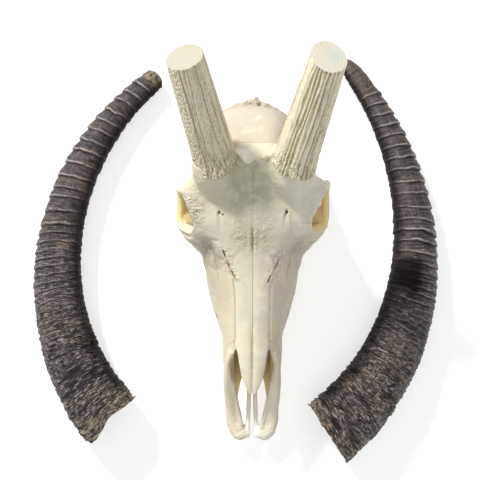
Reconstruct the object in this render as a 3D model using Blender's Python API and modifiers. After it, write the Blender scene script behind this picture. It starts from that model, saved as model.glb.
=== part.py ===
"""A roan antelope skull without its lower jaw, two sawn horn cores on it, and the two horn sheaths beside it.

Every size is in millimetres and turns into metres as a mesh is made. x runs across the skull, y from the tip
of the snout at 0 to the back of the head, and z up from the table on which the cheek teeth and the two
processes behind them rest. CENTRE moves that frame so that the origin lies under the middle of all pieces.
"""

import math
from dataclasses import dataclass

import bmesh
import bpy
import numpy as np
from mathutils import Matrix, Vector

MM = 0.001
CENTRE = (-19.1, 223.8)
SEAM = 0.35

# How finely the bones are grown together, how much they are smoothed, and how many triangles they keep.
VOXEL = 1.6
BULK_SMOOTHING = 14
THIN_SMOOTHING = 3
CRANIUM_FACES = 7500

# The bone round the eye is a ring of this half thickness.
RIM_THICKNESS = 4.6

# Cheek teeth of one side, front to back: place along and across, length, width and number of lobes.
TEETH = [
    (130, 29.5, 13.5, 11.0, 1),
    (144, 33.5, 15.5, 14.0, 1),
    (159, 37.0, 15.5, 16.0, 1),
    (176, 40.5, 19.5, 18.5, 2),
    (196, 43.0, 21.5, 20.0, 2),
    (217, 43.5, 22.5, 19.0, 2),
]
TOOTH_ROOT_Z = 27.0
TOOTH_SIDES = 12

# Horn cores: which way their sections face, and the grooves along them.
CORE_UP = (0.0, -0.7, 0.7)
CORE_FLUTES = 13
CORE_FLUTE_DEPTH = 0.9
CORE_ROOM = (3.2, 4.0)

# Horn sheaths: each lies on its side, and its centre line turns as it runs from the base to the tip.
SHEATH_FLATNESS = 0.83
SHEATH_SIDES = 12
SHEATH_WALL = 5.0
SOCKET_DEPTH = 165.0
RING_FIRST = 62.0
RING_SPACING = (10.0, 18.0)
RING_HEIGHT = 1.7
RING_FULL = 180.0

BONE = (0.83, 0.78, 0.66)
CORE_BONE = (0.78, 0.74, 0.60)
HORN = (0.085, 0.068, 0.058)


@dataclass
class Core:
    """One sawn horn core: the middle of its burr and of its sawn face, its half widths there, and how far the
    front edge of the saw cut lies below the back edge."""

    base: tuple
    top: tuple
    base_halves: tuple
    top_halves: tuple
    cut_drop: float


CORES = {
    1: Core((44.0, 293.0, 165.0), (79.0, 389.5, 260.0), (24.8, 29.0), (20.2, 22.9), 11.0),
    -1: Core((40.6, 293.0, 165.0), (70.8, 387.0, 257.5), (25.6, 29.0), (19.8, 22.4), 8.4),
}


@dataclass
class Sheath:
    """One horn sheath: where its base lies, how its centre line runs and how its half width falls."""

    name: str
    base: tuple
    heading: float
    turn: tuple
    length: float
    half_width: tuple
    rise: tuple


SHEATHS = [
    Sheath(
        name="horn_sheath_left",
        base=(87.5, 8.3),
        heading=37.6,
        turn=(115.7, -25.9),
        length=511.9,
        half_width=(39.6, -19.4, -13.6, 2.8),
        rise=(35.6, -24.0),
    ),
    Sheath(
        name="horn_sheath_right",
        base=(-166.3, 25.7),
        heading=130.8,
        turn=(-104.5, 14.2),
        length=468.9,
        half_width=(38.3, -31.8, 28.7, -23.6),
        rise=(32.1, -17.9),
    ),
]


def clear_scene():
    """Removes the objects that the scene starts with."""
    for found in list(bpy.data.objects):
        bpy.data.objects.remove(found, do_unlink=True)


def collection_named(name):
    """A collection of that name under the scene's own."""
    made = bpy.data.collections.new(name)
    bpy.context.scene.collection.children.link(made)
    return made


def finish_named(name, colour, roughness):
    """A plain Principled material of one colour."""
    made = bpy.data.materials.new(name)
    made.use_nodes = True
    shader = made.node_tree.nodes["Principled BSDF"]
    shader.inputs["Base Color"].default_value = (*colour, 1.0)
    shader.inputs["Roughness"].default_value = roughness
    shader.inputs["Metallic"].default_value = 0.0
    return made


def through(rows, count, closed=False):
    """Rows of numbers on a smooth curve that passes through the given rows."""
    rows = np.asarray(rows, float)
    if closed:
        padded = np.vstack([rows[-1], rows, rows[0], rows[1]])
        spans = len(rows)
    else:
        padded = np.vstack([2 * rows[0] - rows[1], rows, 2 * rows[-1] - rows[-2]])
        spans = len(rows) - 1
    place = np.linspace(0, spans, count, endpoint=not closed)
    first = np.minimum(place.astype(int), spans - 1)
    t = (place - first)[:, None]
    a, b, c, d = (padded[first + i] for i in range(4))
    return 0.5 * (2 * b + (c - a) * t + (2 * a - 5 * b + 4 * c - d) * t**2 + (3 * b - a - 3 * c + d) * t**3)


def mesh_object(name, points, faces):
    """An object from points in millimetres, its faces turned outwards."""
    shape = bmesh.new()
    corners = [shape.verts.new(Vector(p) * MM) for p in points]
    for face in faces:
        shape.faces.new([corners[i] for i in face])
    bmesh.ops.recalc_face_normals(shape, faces=shape.faces)
    mesh = bpy.data.meshes.new(name)
    shape.to_mesh(mesh)
    shape.free()
    return bpy.data.objects.new(name, mesh)


def loft(name, rings, closed=False):
    """A closed body through rings of equally many points, capped at both ends unless it runs in a loop."""
    count = len(rings)
    sides = len(rings[0])
    points = [p for ring in rings for p in ring]
    faces = []
    for i in range(count if closed else count - 1):
        here, after = i * sides, (i + 1) % count * sides
        for j in range(sides):
            k = (j + 1) % sides
            faces.append((here + j, here + k, after + k, after + j))
    if not closed:
        faces.append(tuple(range(sides)))
        faces.append(tuple(range((count - 1) * sides, count * sides)))
    return mesh_object(name, points, faces)


def oval(sides, power=2.0):
    """Unit offsets round a section: a circle at power 2, squarer above it."""
    angle = np.linspace(0, 2 * math.pi, sides, endpoint=False)
    across, up = np.cos(angle), np.sin(angle)
    swell = 2.0 / power
    return np.sign(across) * np.abs(across) ** swell, np.sign(up) * np.abs(up) ** swell


def frames_along(centres, up, closed=False):
    """The sideways and upward unit vectors of a section at each point of a path."""
    if closed:
        ahead = np.roll(centres, -1, axis=0) - np.roll(centres, 1, axis=0)
    else:
        ahead = np.gradient(centres, axis=0)
    ahead /= np.linalg.norm(ahead, axis=1)[:, None]
    side = np.cross(ahead, np.asarray(up, float))
    side /= np.linalg.norm(side, axis=1)[:, None]
    return side, np.cross(side, ahead)


def bar(name, rows, up=(0, 0, 1), sides=12, steps=14, power=2.0, mirror=1, closed=False):
    """A body swept along a smooth path. A row holds x, y, z, and the half widths across and along up."""
    path = through(rows, steps, closed)
    centres = path[:, :3]
    side, top = frames_along(centres, up, closed)
    across, along = oval(sides, power)
    rings = [
        c + np.outer(across * w, s) + np.outer(along * h, t)
        for c, s, t, w, h in zip(centres, side, top, path[:, 3], path[:, 4])
    ]
    turned = [ring * (mirror, 1, 1) for ring in rings]
    return loft(name, turned, closed)


def blob(name, centre, radii, turn=0.0, mirror=1):
    """An ellipsoid, turned about x by an angle in degrees."""
    shape = bmesh.new()
    bmesh.ops.create_uvsphere(shape, u_segments=20, v_segments=12, radius=1.0)
    place = Matrix.Translation(Vector((centre[0] * mirror, centre[1], centre[2])) * MM)
    spin = Matrix.Rotation(math.radians(turn), 4, "X")
    size = Matrix.Diagonal((*(r * MM for r in radii), 1))
    bmesh.ops.transform(shape, matrix=place @ spin @ size, verts=shape.verts)
    mesh = bpy.data.meshes.new(name)
    shape.to_mesh(mesh)
    shape.free()
    return bpy.data.objects.new(name, mesh)


def block(name, low, high):
    """A box between two corners."""
    shape = bmesh.new()
    bmesh.ops.create_cube(shape, size=1.0)
    middle = (Vector(low) + Vector(high)) / 2 * MM
    size = (Vector(high) - Vector(low)) * MM
    place = Matrix.Translation(middle) @ Matrix.Diagonal((*size, 1))
    bmesh.ops.transform(shape, matrix=place, verts=shape.verts)
    mesh = bpy.data.meshes.new(name)
    shape.to_mesh(mesh)
    shape.free()
    return bpy.data.objects.new(name, mesh)


def trunk(name, stations, sides=40, steps=30):
    """A symmetric body along y. A station holds y, the half width and height of its roof, cheek, jaw and
    floor, and how far the middle of its roof and of its floor stand above those edges."""
    rings = []
    for y, *corners, crown, vault in through(stations, steps):
        right = list(zip(corners[::2], corners[1::2]))
        roof_z, floor_z = right[0][1], right[-1][1]
        left = [(-x, z) for x, z in reversed(right)]
        outline = [(0.0, roof_z + crown), *right, (0.0, floor_z + vault), *left]
        ring = through(outline, sides, closed=True)
        rings.append(np.column_stack([ring[:, 0], np.full(sides, y), ring[:, 1]]))
    return loft(name, rings)


def in_triangles(target):
    """Cuts an object's mesh into triangles."""
    shape = bmesh.new()
    shape.from_mesh(target.data)
    bmesh.ops.triangulate(shape, faces=shape.faces)
    shape.to_mesh(target.data)
    shape.free()
    return target


def link(found, collection):
    """Puts an object in a collection and gives it back."""
    collection.objects.link(found)
    return found


def applied(target):
    """Replaces an object's mesh by what its modifiers make of it."""
    bpy.context.view_layer.update()
    graph = bpy.context.evaluated_depsgraph_get()
    made = bpy.data.meshes.new_from_object(target.evaluated_get(graph))
    target.modifiers.clear()
    target.data = made
    return target


def combine(target, others, operation, solver="EXACT"):
    """Cuts, joins or intersects an object with others, one after another, and removes them."""
    for other in others:
        if not other.users_collection:
            link(other, bpy.context.scene.collection)
        modifier = target.modifiers.new("combine", "BOOLEAN")
        modifier.operation = operation
        modifier.solver = solver
        modifier.object = other
        applied(target)
        bpy.data.objects.remove(other, do_unlink=True)
    return target


def copy_of(source, name):
    """A separate object with its own copy of a mesh."""
    made = bpy.data.objects.new(name, source.data.copy())
    return link(made, bpy.context.scene.collection)


def largest_body(target):
    """Keeps only the largest closed surface of an object's mesh."""
    shape = bmesh.new()
    shape.from_mesh(target.data)
    left = set(shape.verts)
    bodies = []
    while left:
        body = {left.pop()}
        edge = list(body)
        while edge:
            for line in edge.pop().link_edges:
                for vert in line.verts:
                    if vert in left:
                        left.remove(vert)
                        body.add(vert)
                        edge.append(vert)
        bodies.append(body)
    keep = max(bodies, key=len)
    loose = [v for body in bodies if body is not keep for v in body]
    bmesh.ops.delete(shape, geom=loose, context="VERTS")
    shape.to_mesh(target.data)
    shape.free()
    return target


def joined(name, pieces):
    """One object that holds the meshes of all pieces, which are removed."""
    shape = bmesh.new()
    for piece in pieces:
        shape.from_mesh(piece.data)
        bpy.data.objects.remove(piece, do_unlink=True)
    mesh = bpy.data.meshes.new(name)
    shape.to_mesh(mesh)
    shape.free()
    return link(bpy.data.objects.new(name, mesh), bpy.context.scene.collection)


def fused(name, pieces, voxel, passes):
    """The pieces grown into one rounded body, remeshed on a grid and smoothed."""
    whole = joined(name, pieces)
    remesh = whole.modifiers.new("fuse", "REMESH")
    remesh.mode = "VOXEL"
    remesh.voxel_size = voxel * MM
    smooth = whole.modifiers.new("soften", "SMOOTH")
    smooth.factor = 0.5
    smooth.iterations = passes
    return applied(whole)


def thinned(target, faces):
    """Thins an object's mesh to a number of triangles."""
    thin = target.modifiers.new("thin", "DECIMATE")
    thin.ratio = faces / sum(len(face.vertices) - 2 for face in target.data.polygons)
    return applied(target)


def both(maker):
    """What a maker builds on the right side and on the left."""
    return [piece for mirror in (1, -1) for piece in maker(mirror)]


def nasal_cavity():
    """The hollow of the nose, open in front, with floor, sides and roof a few millimetres thick."""
    stations = [
        (40, 14, 92, 24, 72, 28, 54, 21, 39, 1, 0),
        (70, 14, 93, 25, 74, 28, 54, 21, 40, 1, 0),
        (100, 14, 91, 26, 76, 29, 56, 22, 42, 2, 0),
        (130, 14.5, 104, 28, 82, 31, 60, 24, 44, 2, 0),
        (160, 15, 114, 32, 90, 34, 64, 26, 48, 2, 0),
        (188, 10, 116, 22, 98, 22, 80, 12, 66, 1, 0),
    ]
    return trunk("nasal_cavity", stations)


def muzzle():
    """The upper jaw and the bridge of the nose, flaring backwards into the front of the orbits."""
    stations = [
        (72, 13, 84, 28, 66, 31, 52, 25, 34, 1, 3),
        (86, 17, 92, 30, 74, 33, 54, 26, 32, 1, 4),
        (102, 19, 98, 31, 80, 34, 56, 27, 31, 2.5, 5),
        (121, 19.5, 105, 32, 84, 35, 58, 31, 27, 3, 8),
        (143, 20, 113, 35, 88, 42, 60, 38, 22, 3.5, 12),
        (160, 21, 119, 39, 94, 46, 63, 43, 19, 3.5, 14),
        (180, 24, 127, 44, 100, 51, 68, 47, 18, 3.5, 16),
        (200, 29, 135, 51, 108, 54, 74, 49, 18, 4, 18),
        (212, 34, 140, 58, 114, 56, 78, 49, 19, 4, 19),
        (224, 42, 145, 68, 120, 58, 80, 48, 20, 4, 19),
        (234, 48, 149, 76, 122, 58, 82, 46, 23, 4, 18),
        (244, 50, 152, 76, 120, 54, 84, 40, 30, 4, 14),
        (254, 48, 155, 64, 112, 44, 82, 28, 44, 4, 8),
        (266, 40, 155, 44, 106, 30, 80, 20, 58, 3, 2),
        (280, 30, 152, 30, 104, 24, 82, 16, 64, 2, 0),
    ]
    return trunk("muzzle", stations, steps=36)


def forehead():
    """The frontal bones: a thick roof over the orbits that rises to the ridge between the horns."""
    stations = [
        (200, 26, 136, 40, 128, 38, 120, 30, 116, 3, 2),
        (214, 32, 141, 50, 131, 46, 122, 34, 118, 3.5, 2),
        (228, 38, 147, 60, 139, 57, 129, 44, 122, 4, 3),
        (244, 44, 153, 68, 147, 64, 137, 50, 128, 4.5, 3),
        (258, 48, 158, 75, 151, 70, 141, 54, 130, 3.5, 3),
        (270, 48, 163, 80, 150, 76, 140, 58, 128, 2, 2),
        (280, 46, 168, 80, 147, 74, 134, 54, 122, 1.5, 0),
        (290, 42, 172, 64, 150, 58, 130, 46, 114, 2, 0),
        (300, 34, 172, 50, 146, 45, 126, 38, 106, 2, 0),
        (312, 22, 162, 38, 136, 34, 120, 28, 102, 2, 0),
    ]
    return trunk("forehead", stations)


def braincase():
    """The vault behind the horns, bent down to the occiput."""
    stations = [
        (262, 20, 146, 26, 120, 22, 92, 14, 70, 2, 0),
        (284, 26, 162, 32, 124, 28, 90, 18, 62, 3, 0),
        (304, 28, 166, 40, 122, 36, 86, 22, 55, 4, 0),
        (324, 29, 156, 46, 112, 42, 76, 28, 48, 6, 0),
        (344, 30, 143, 48, 102, 46, 70, 33, 42, 7, 0),
        (360, 27, 126, 46, 92, 48, 64, 36, 39, 8, 0),
        (372, 23, 111, 41, 84, 46, 60, 37, 37, 7, 0),
        (381, 18, 97, 34, 76, 40, 56, 31, 36, 6, 0),
        (389, 12, 84, 26, 66, 29, 52, 21, 38, 3, 0),
    ]
    return trunk("braincase", stations)


def orbit_hollow(mirror):
    """The cone of the eye socket, from outside its rim to its apex."""
    rows = [
        (115, 249, 123, 30, 27),
        (84, 252, 122, 27, 24.5),
        (66, 254, 121, 25, 23),
        (48, 260, 118, 20, 19),
        (32, 270, 112, 12, 12),
        (24, 276, 108, 5, 5),
    ]
    return bar("orbit_hollow", rows, sides=24, steps=18, mirror=mirror)


def orbit_rim(mirror):
    """The ring of bone round the eye; its lower edge stands further out than its upper one in front."""
    rows = [
        (83.5, 256, 96),
        (81.5, 243, 95),
        (75, 230, 101),
        (66, 222, 113),
        (58, 228, 132),
        (57, 240, 143),
        (63, 256, 149),
        (76, 270, 149),
        (82, 279, 139),
        (83, 282, 122),
        (83, 276, 106),
    ]
    thick = [(*row, RIM_THICKNESS, RIM_THICKNESS) for row in rows]
    return [bar("orbit_rim", thick, up=(1, -0.2, 0.1), sides=10, steps=40, mirror=mirror, closed=True)]


def crown_ridge(mirror):
    """Half of the low scalloped ridge across the forehead between the horn cores."""
    rows = [(26, 296, 167, 4, 5), (14, 300, 172, 4, 6), (-3, 296, 173, 4, 6)]
    return [bar("crown_ridge", rows, up=(0, 0.4, 1), mirror=mirror)]


def horn_pedicle(mirror):
    """The smooth stalk on which a horn core stands."""
    rows = [
        (33, 266, 120, 24, 28),
        (37, 280, 142, 26, 30),
        (41, 290, 160, 25, 30.5),
        (44, 299, 171, 24, 29.7),
    ]
    return [bar("pedicle", rows, up=CORE_UP, sides=24, mirror=mirror)]


def cheek(mirror):
    """The bar of the cheekbone under the orbit and behind it, back to the end of the arch."""
    arch = [
        (54, 216, 80, 6, 9),
        (66, 226, 84, 6, 10),
        (76, 238, 87, 6, 10),
        (81, 256, 89, 5.5, 8),
        (80, 276, 87, 4.5, 7.5),
        (76, 296, 82, 4, 6.5),
        (69, 312, 79, 4.5, 6.5),
        (58, 324, 76, 7, 7),
        (46, 334, 74, 10, 8),
    ]
    return [bar("arch", arch, steps=28, mirror=mirror)]


def cheek_front(mirror):
    """The front of the cheekbone, which swells out of the side of the jaw below the orbit."""
    rows = [
        (40, 164, 62, 5, 6),
        (45, 186, 67, 6, 9),
        (49, 200, 71, 7, 11),
        (51.5, 213, 77, 7.5, 13),
        (64, 225, 83, 7, 13),
        (75, 240, 88, 6.5, 11),
    ]
    return [bar("cheek_front", rows, steps=20, mirror=mirror)]


def temple(mirror):
    """The root of the arch on the braincase, and the joint for the lower jaw under it."""
    root = [(62, 320, 76, 6, 6), (50, 334, 74, 9, 9), (36, 346, 74, 11, 12)]
    return [
        bar("arch_root", root, mirror=mirror),
        blob("jaw_socket", (50, 329, 67), (13, 9, 6), mirror=mirror),
        bar("mastoid", [(46, 350, 78, 7, 8), (48, 362, 66, 7, 9), (43, 374, 52, 6, 9)], mirror=mirror),
    ]


def occiput(mirror):
    """Half of the nuchal crest, one condyle, and the long process beside it."""
    crest = [
        (46, 360, 58, 5, 6),
        (46, 365, 74, 4, 5),
        (38, 371, 87, 3.5, 5),
        (25, 377, 96, 3.2, 5),
        (12, 382, 101, 3.2, 5),
        (-2, 386, 102, 3.5, 5),
    ]
    condyle = [(6, 381, 34, 7, 7), (14, 387, 36, 9, 9), (21, 388, 46, 8, 10), (18, 384, 60, 6, 8)]
    process = [
        (36, 372, 62, 7, 10),
        (37, 378, 44, 5.5, 11),
        (37, 380, 26, 4.5, 10),
        (34.5, 376, 9, 4, 7.5),
        (33, 373, -6, 3.6, 6),
    ]
    return [
        bar("crest", crest, up=(0, -0.7, 0.7), steps=20, mirror=mirror),
        bar("condyle", condyle, up=(0, 1, 0.2), sides=14, mirror=mirror),
        bar("process", process, up=(0, 1, 0), steps=16, mirror=mirror),
    ]


def skull_base(mirror):
    """What stands under the braincase: its floor, bulla, ear tube and the plate behind the palate."""
    floor = [
        (0, 262, 70, 9, 7),
        (0, 300, 58, 10, 7),
        (0, 338, 47, 13, 8),
        (0, 366, 41, 16, 8),
        (0, 384, 39, 15, 7),
    ]
    wing = [(20, 232, 40, 3, 12), (20, 256, 42, 2.6, 15), (19, 280, 48, 2.4, 15), (19, 298, 58, 2.4, 10)]
    return [
        bar("base_floor", floor, steps=16, mirror=mirror),
        blob("bulla", (26, 350, 38), (10, 15, 13), turn=-12, mirror=mirror),
        blob("tubercle", (9, 362, 37), (7, 9, 6), mirror=mirror),
        bar("ear_tube", [(30, 350, 52, 8, 8), (42, 354, 60, 7, 7), (54, 359, 68, 6.5, 6.5)], mirror=mirror),
        bar("wing", wing, power=2.6, mirror=mirror),
        blob("hook", (18, 290, 38), (2.6, 6, 6), mirror=mirror),
    ]


def snout(mirror):
    """One premaxilla: its body in front, the arm that climbs to the nasal, and the rod on the palate."""
    arm = [
        (8.5, 3, 24, 5, 5),
        (16, 9, 23.5, 9.5, 6),
        (21.7, 20, 24, 8.6, 6.5),
        (22.8, 31, 27, 7.8, 7),
        (23.4, 43, 33, 6.8, 8),
        (24, 58, 43, 7.6, 10),
        (26.5, 74, 55, 6.5, 14),
        (26, 90, 72, 4.5, 15),
        (22, 103, 86, 3.4, 10),
    ]
    rod = [
        (5, 5, 22, 3.2, 3.6),
        (4.2, 24, 24.5, 2.5, 3.4),
        (5, 48, 31, 2.7, 3.4),
        (5.2, 74, 36, 3.2, 3.4),
        (5, 96, 38, 4, 3),
    ]
    palate = [(20, 66, 38, 9, 4.5), (17, 84, 37, 13, 5), (16, 104, 36, 15, 5)]
    return [
        bar("arm", arm, steps=28, sides=14, power=2.3, mirror=mirror),
        bar("rod", rod, steps=18, mirror=mirror),
        bar("front_palate", palate, mirror=mirror),
        blob("snout_tip", (12, 8, 24), (11, 7.5, 5.5), mirror=mirror),
    ]


def nasal(mirror):
    """The free part of one nasal bone, a tapering plate that overhangs the nostril."""
    rows = [
        (2.2, 50, 85.5, 1.6, 1.6),
        (4.6, 60, 89, 4.2, 2.4),
        (7.2, 76, 93.5, 6.9, 3),
        (8.9, 92, 97.5, 8.6, 3.4),
        (9.8, 108, 101, 9.4, 3.5),
        (10, 128, 107, 9.4, 3.4),
        (10, 146, 112, 9, 3),
    ]
    return [bar("nasal", rows, up=(0.22, 0, 1), steps=22, sides=14, power=2.4, mirror=mirror)]


def scroll(mirror):
    """The scroll of bone in one half of the nose."""
    rows = [(14, 94, 58, 3, 6), (14, 112, 66, 7, 13), (14, 140, 76, 8, 16), (14, 176, 92, 9, 16)]
    return [bar("scroll", rows, mirror=mirror, power=2.6)]


def vomer():
    """The upright plate that parts the two halves of the nose."""
    rows = [(0, 90, 46, 1.5, 4), (0, 104, 58, 1.6, 15), (0, 130, 68, 1.7, 22), (0, 170, 80, 1.8, 24)]
    return bar("vomer", rows, power=3.5, sides=8, steps=7)


def base_cuts():
    """The foramen magnum, the passage behind the palate and the bores of the ears."""
    magnum = [(0, 412, 44, 13, 13), (0, 390, 48, 13, 13), (0, 372, 54, 11, 10), (0, 358, 60, 6, 6)]
    throat = [(0, 234, 36, 12, 12), (0, 252, 40, 15, 17), (0, 276, 45, 15, 12), (0, 300, 45, 12, 8)]
    ear = [(66, 363, 75, 3.6, 3.6), (50, 357, 65, 3.6, 3.6), (38, 352, 58, 3, 3)]
    cuts = [bar("magnum", magnum, sides=18), bar("throat", throat, sides=16, power=2.6)]
    return cuts + [bar("ear_bore", ear, mirror=mirror) for mirror in (1, -1)]


def face_cuts(mirror):
    """The holes over and below one eye, the slit beside one nasal bone and the notch beside its tip."""
    brow_hole = [
        (34, 220, 151.5, 2, 1.5),
        (35.5, 233, 155, 3.2, 3),
        (36.5, 243, 156, 4.4, 4.4),
        (37, 250, 148, 4, 4),
        (37, 258, 138, 3, 3),
    ]
    cheek_hole = [(50, 128, 58, 4, 5.5), (40, 139, 63, 4, 5.5), (34, 152, 68, 3, 4)]
    slit = [(24, 181, 133, 0.8, 5), (27, 190, 136, 1.4, 9), (31, 200, 138, 1.5, 9), (35, 208, 140, 0.8, 6)]
    nose_notch = [
        (18.5, 72, 84, 6.5, 14),
        (18.5, 83, 88, 5, 14),
        (18.3, 92, 93, 2.8, 12),
        (18.2, 101, 96, 0.6, 9),
    ]
    return [
        bar("brow_hole", brow_hole, mirror=mirror),
        bar("cheek_hole", cheek_hole, mirror=mirror),
        bar("slit", slit, mirror=mirror),
        bar("nose_notch", nose_notch, mirror=mirror),
    ]


def linked(pieces):
    """Puts new pieces into the scene and gives them back."""
    for piece in pieces:
        link(piece, bpy.context.scene.collection)
    return pieces


def cranium():
    """All the bones of the skull grown together, with orbits, nose and passages open."""
    bulk = [muzzle(), forehead(), braincase()]
    for form in (horn_pedicle, cheek_front, temple):
        bulk += both(form)
    body = fused("bulk", linked(bulk), VOXEL, BULK_SMOOTHING)
    combine(body, [orbit_hollow(1), orbit_hollow(-1), nasal_cavity()], "DIFFERENCE", "MANIFOLD")
    thin = []
    for form in (orbit_rim, cheek, occiput, skull_base, snout, nasal, scroll, crown_ridge):
        thin += both(form)
    whole = fused("cranium", [body] + linked(thin), VOXEL, THIN_SMOOTHING)
    combine(whole, base_cuts() + both(face_cuts), "DIFFERENCE", "MANIFOLD")
    return thinned(largest_body(whole), CRANIUM_FACES)


def grown(outline, by):
    """A polygon with every side moved outwards."""
    corners = [np.asarray(c, float) for c in outline]
    area = sum(a[0] * b[1] - b[0] * a[1] for a, b in zip(corners, corners[1:] + corners[:1]))
    turn = 1 if area > 0 else -1
    moved = []
    for i, here in enumerate(corners):
        before, after = here - corners[i - 1], corners[(i + 1) % len(corners)] - here
        normals = [np.array([d[1], -d[0]]) / np.hypot(*d) * turn for d in (before, after)]
        both_ways = normals[0] + normals[1]
        moved.append(here + both_ways * (2 * by / (both_ways @ both_ways)))
    return moved


def side_prism(name, outline, x_low, x_high, by=0.0):
    """A polygon in y and z drawn out across the skull, all its faces moved outwards by a distance."""
    corners = grown(outline, by)
    rings = [[(x, y, z) for y, z in corners] for x in (x_low - by, x_high + by)]
    return loft(name, rings)


def channel(name, stations, by=0.0):
    """A box-shaped body along y. A station holds y, the two sides in x, and the bottom and top in z."""
    rings = []
    for i, (y, x_low, x_high, z_low, z_high) in enumerate(stations):
        place = y - by if i == 0 else y + by if i == len(stations) - 1 else y
        left, right, bottom, top = x_low - by, x_high + by, z_low - by, z_high + by
        corners = [(left, bottom), (right, bottom), (right, top), (left, top)]
        rings.append([(x, place, z) for x, z in corners])
    return loft(name, rings)


def flipped(region, mirror):
    """A region seen in the mirror when it belongs to the other side."""
    if mirror < 0:
        region.data.transform(Matrix.Scale(-1, 4, (1, 0, 0)))
        region.data.flip_normals()
    return region


def nasal_region(mirror, by):
    """Where one nasal bone lies: a long slab along the midline, blunt behind."""
    stations = [
        (40, SEAM / 2, 12, 79, 200),
        (70, SEAM / 2, 16, 87, 200),
        (100, SEAM / 2, 19.6, 92.5, 200),
        (130, SEAM / 2, 19.8, 103.5, 200),
        (160, SEAM / 2, 20.5, 113.5, 200),
        (190, SEAM / 2, 24, 122, 200),
        (203, SEAM / 2, 21, 127, 200),
        (211, SEAM / 2, 9, 130, 200),
    ]
    return flipped(channel("region", stations, by), mirror)


def premaxilla_region(mirror, by):
    """Where one premaxilla lies, in front of a seam that climbs backwards."""
    outline = [(-20, -20), (-20, 110), (112, 110), (105, 88), (94, 72), (84, 58), (78, 46), (76, -20)]
    return flipped(side_prism("region", outline, SEAM / 2 + by, 90, by), mirror)


def frontal_region(by):
    """Where the frontal bones lie, from the nasals to behind the horns and half way down the orbits."""
    outline = [
        (199, 230),
        (199, 131),
        (212, 127),
        (228, 124),
        (250, 113),
        (292, 108),
        (306, 113),
        (318, 142),
        (322, 230),
    ]
    return side_prism("region", outline, -120, 120, by)


def cheek_region(mirror, by):
    """Where one lacrimal and cheekbone lie, outside the walls of the jaw and the braincase."""
    stations = [
        (165, 40, 120, 62, 84),
        (180, 38, 120, 57, 114),
        (200, 42, 120, 59, 150),
        (222, 52, 120, 64, 150),
        (250, 56, 120, 64, 150),
        (299, 58, 120, 60, 150),
    ]
    return flipped(channel("region", stations, by), mirror)


def maxilla_region(mirror, by):
    """Where one maxilla lies, with its half of the palate."""
    outline = [(50, -20), (50, 150), (226, 150), (232, 100), (238, 62), (246, 44), (250, -20)]
    return flipped(side_prism("region", outline, SEAM / 2 + by, 100, by), mirror)


def core_region(mirror):
    """The room of one horn core, from just under its burr."""
    core = CORES[mirror]
    axis = Vector(core.top) - Vector(core.base)
    start = Vector(core.base) - axis.normalized() * SEAM
    end = start + axis * 0.5
    halves = [half + room for half, room in zip(core.base_halves, CORE_ROOM)]
    return bar("region", [(*start, *halves), (*end, *halves)], up=CORE_UP, sides=24, steps=2, mirror=mirror)


def horn_core(name, mirror):
    """One sawn horn core: a fluted oval cone with a swollen burr."""
    core = CORES[mirror]
    base, top = np.array(core.base), np.array(core.top)
    heights = [0.0, 0.03, 0.075, 0.16, 0.3, 0.5, 0.75, 1.0]
    swelling = [0.2, 1.6, 0.7, 0.0, 0.0, 0.0, 0.0, 0.0]
    centres = np.array([base + (top - base) * t for t in heights])
    axis = (top - base) / np.linalg.norm(top - base)
    side, up = frames_along(centres, CORE_UP)
    angle = np.linspace(0, 2 * math.pi, 2 * CORE_FLUTES, endpoint=False)
    rings = []
    for i, t in enumerate(heights):
        across, along = (b + (e - b) * t + swelling[i] for b, e in zip(core.base_halves, core.top_halves))
        depth = np.where(np.arange(len(angle)) % 2, CORE_FLUTE_DEPTH, 0.0)
        ring = centres[i] + np.outer((across - depth) * np.cos(angle), side[i])
        ring += np.outer((along - depth) * np.sin(angle), up[i])
        ring -= np.outer(core.cut_drop * t**6 * (1 + np.sin(angle)) / 2, axis)
        rings.append(ring * (mirror, 1, 1))
    return loft(name, rings)


def tooth(y, x, length, width, lobes, mirror):
    """One cheek tooth with a flat crown, waisted between its lobes."""
    across, along = oval(TOOTH_SIDES, 3.0)
    waist = 1 - (lobes - 1) * 0.17 * np.exp(-((along / 0.22) ** 2))
    rings = []
    for z, swell in ((-2.0, 1.0), (TOOTH_ROOT_Z, 0.92)):
        xs = (x + across * waist * width / 2 * swell) * mirror
        ys = y + along * length / 2
        rings.append(np.column_stack([xs, ys, np.full(TOOTH_SIDES, z)]))
    return loft("tooth", rings)


def centre_line(sheath, count, start=0.0, end=1.0):
    """Points along a sheath's centre line, and the share of its length at each."""
    fine = np.linspace(0, 1, 400)
    heading = np.radians(sheath.heading + sheath.turn[0] * fine + sheath.turn[1] * fine**2)
    step = sheath.length / 399
    x = sheath.base[0] + np.concatenate([[0], np.cumsum(np.cos(heading[:-1]) * step)])
    y = sheath.base[1] + np.concatenate([[0], np.cumsum(np.sin(heading[:-1]) * step)])
    share = count if isinstance(count, np.ndarray) else np.linspace(start, end, count)
    z = sheath.rise[0] + sheath.rise[1] * share
    return np.column_stack([np.interp(share, fine, x), np.interp(share, fine, y), z]), share


def half_width(sheath, share):
    """A sheath's half width, rings apart, at a share of its length."""
    return sum(c * share**i for i, c in enumerate(sheath.half_width))


def ring_stations(length):
    """Shares of the length with the swelling there: smooth at the base, then ridges, then a smooth tip."""
    places = [(0.0, 0.0), (14.0, 0.6), (26.0, -0.4), (38.0, 0.7), (50.0, -0.3)]
    at = RING_FIRST
    while at < length * 0.87:
        gap = RING_SPACING[0] + (RING_SPACING[1] - RING_SPACING[0]) * at / length
        height = RING_HEIGHT * min(1.0, at / RING_FULL)
        places += [(at, height), (at + gap * 0.62, -0.35 * height)]
        at += gap
    rest = length - at
    places += [(at + rest * share, 0.0) for share in (0.05, 0.35, 0.65, 0.88, 0.97, 1.0)]
    return np.array([p[0] / length for p in places]), np.array([p[1] for p in places])


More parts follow.
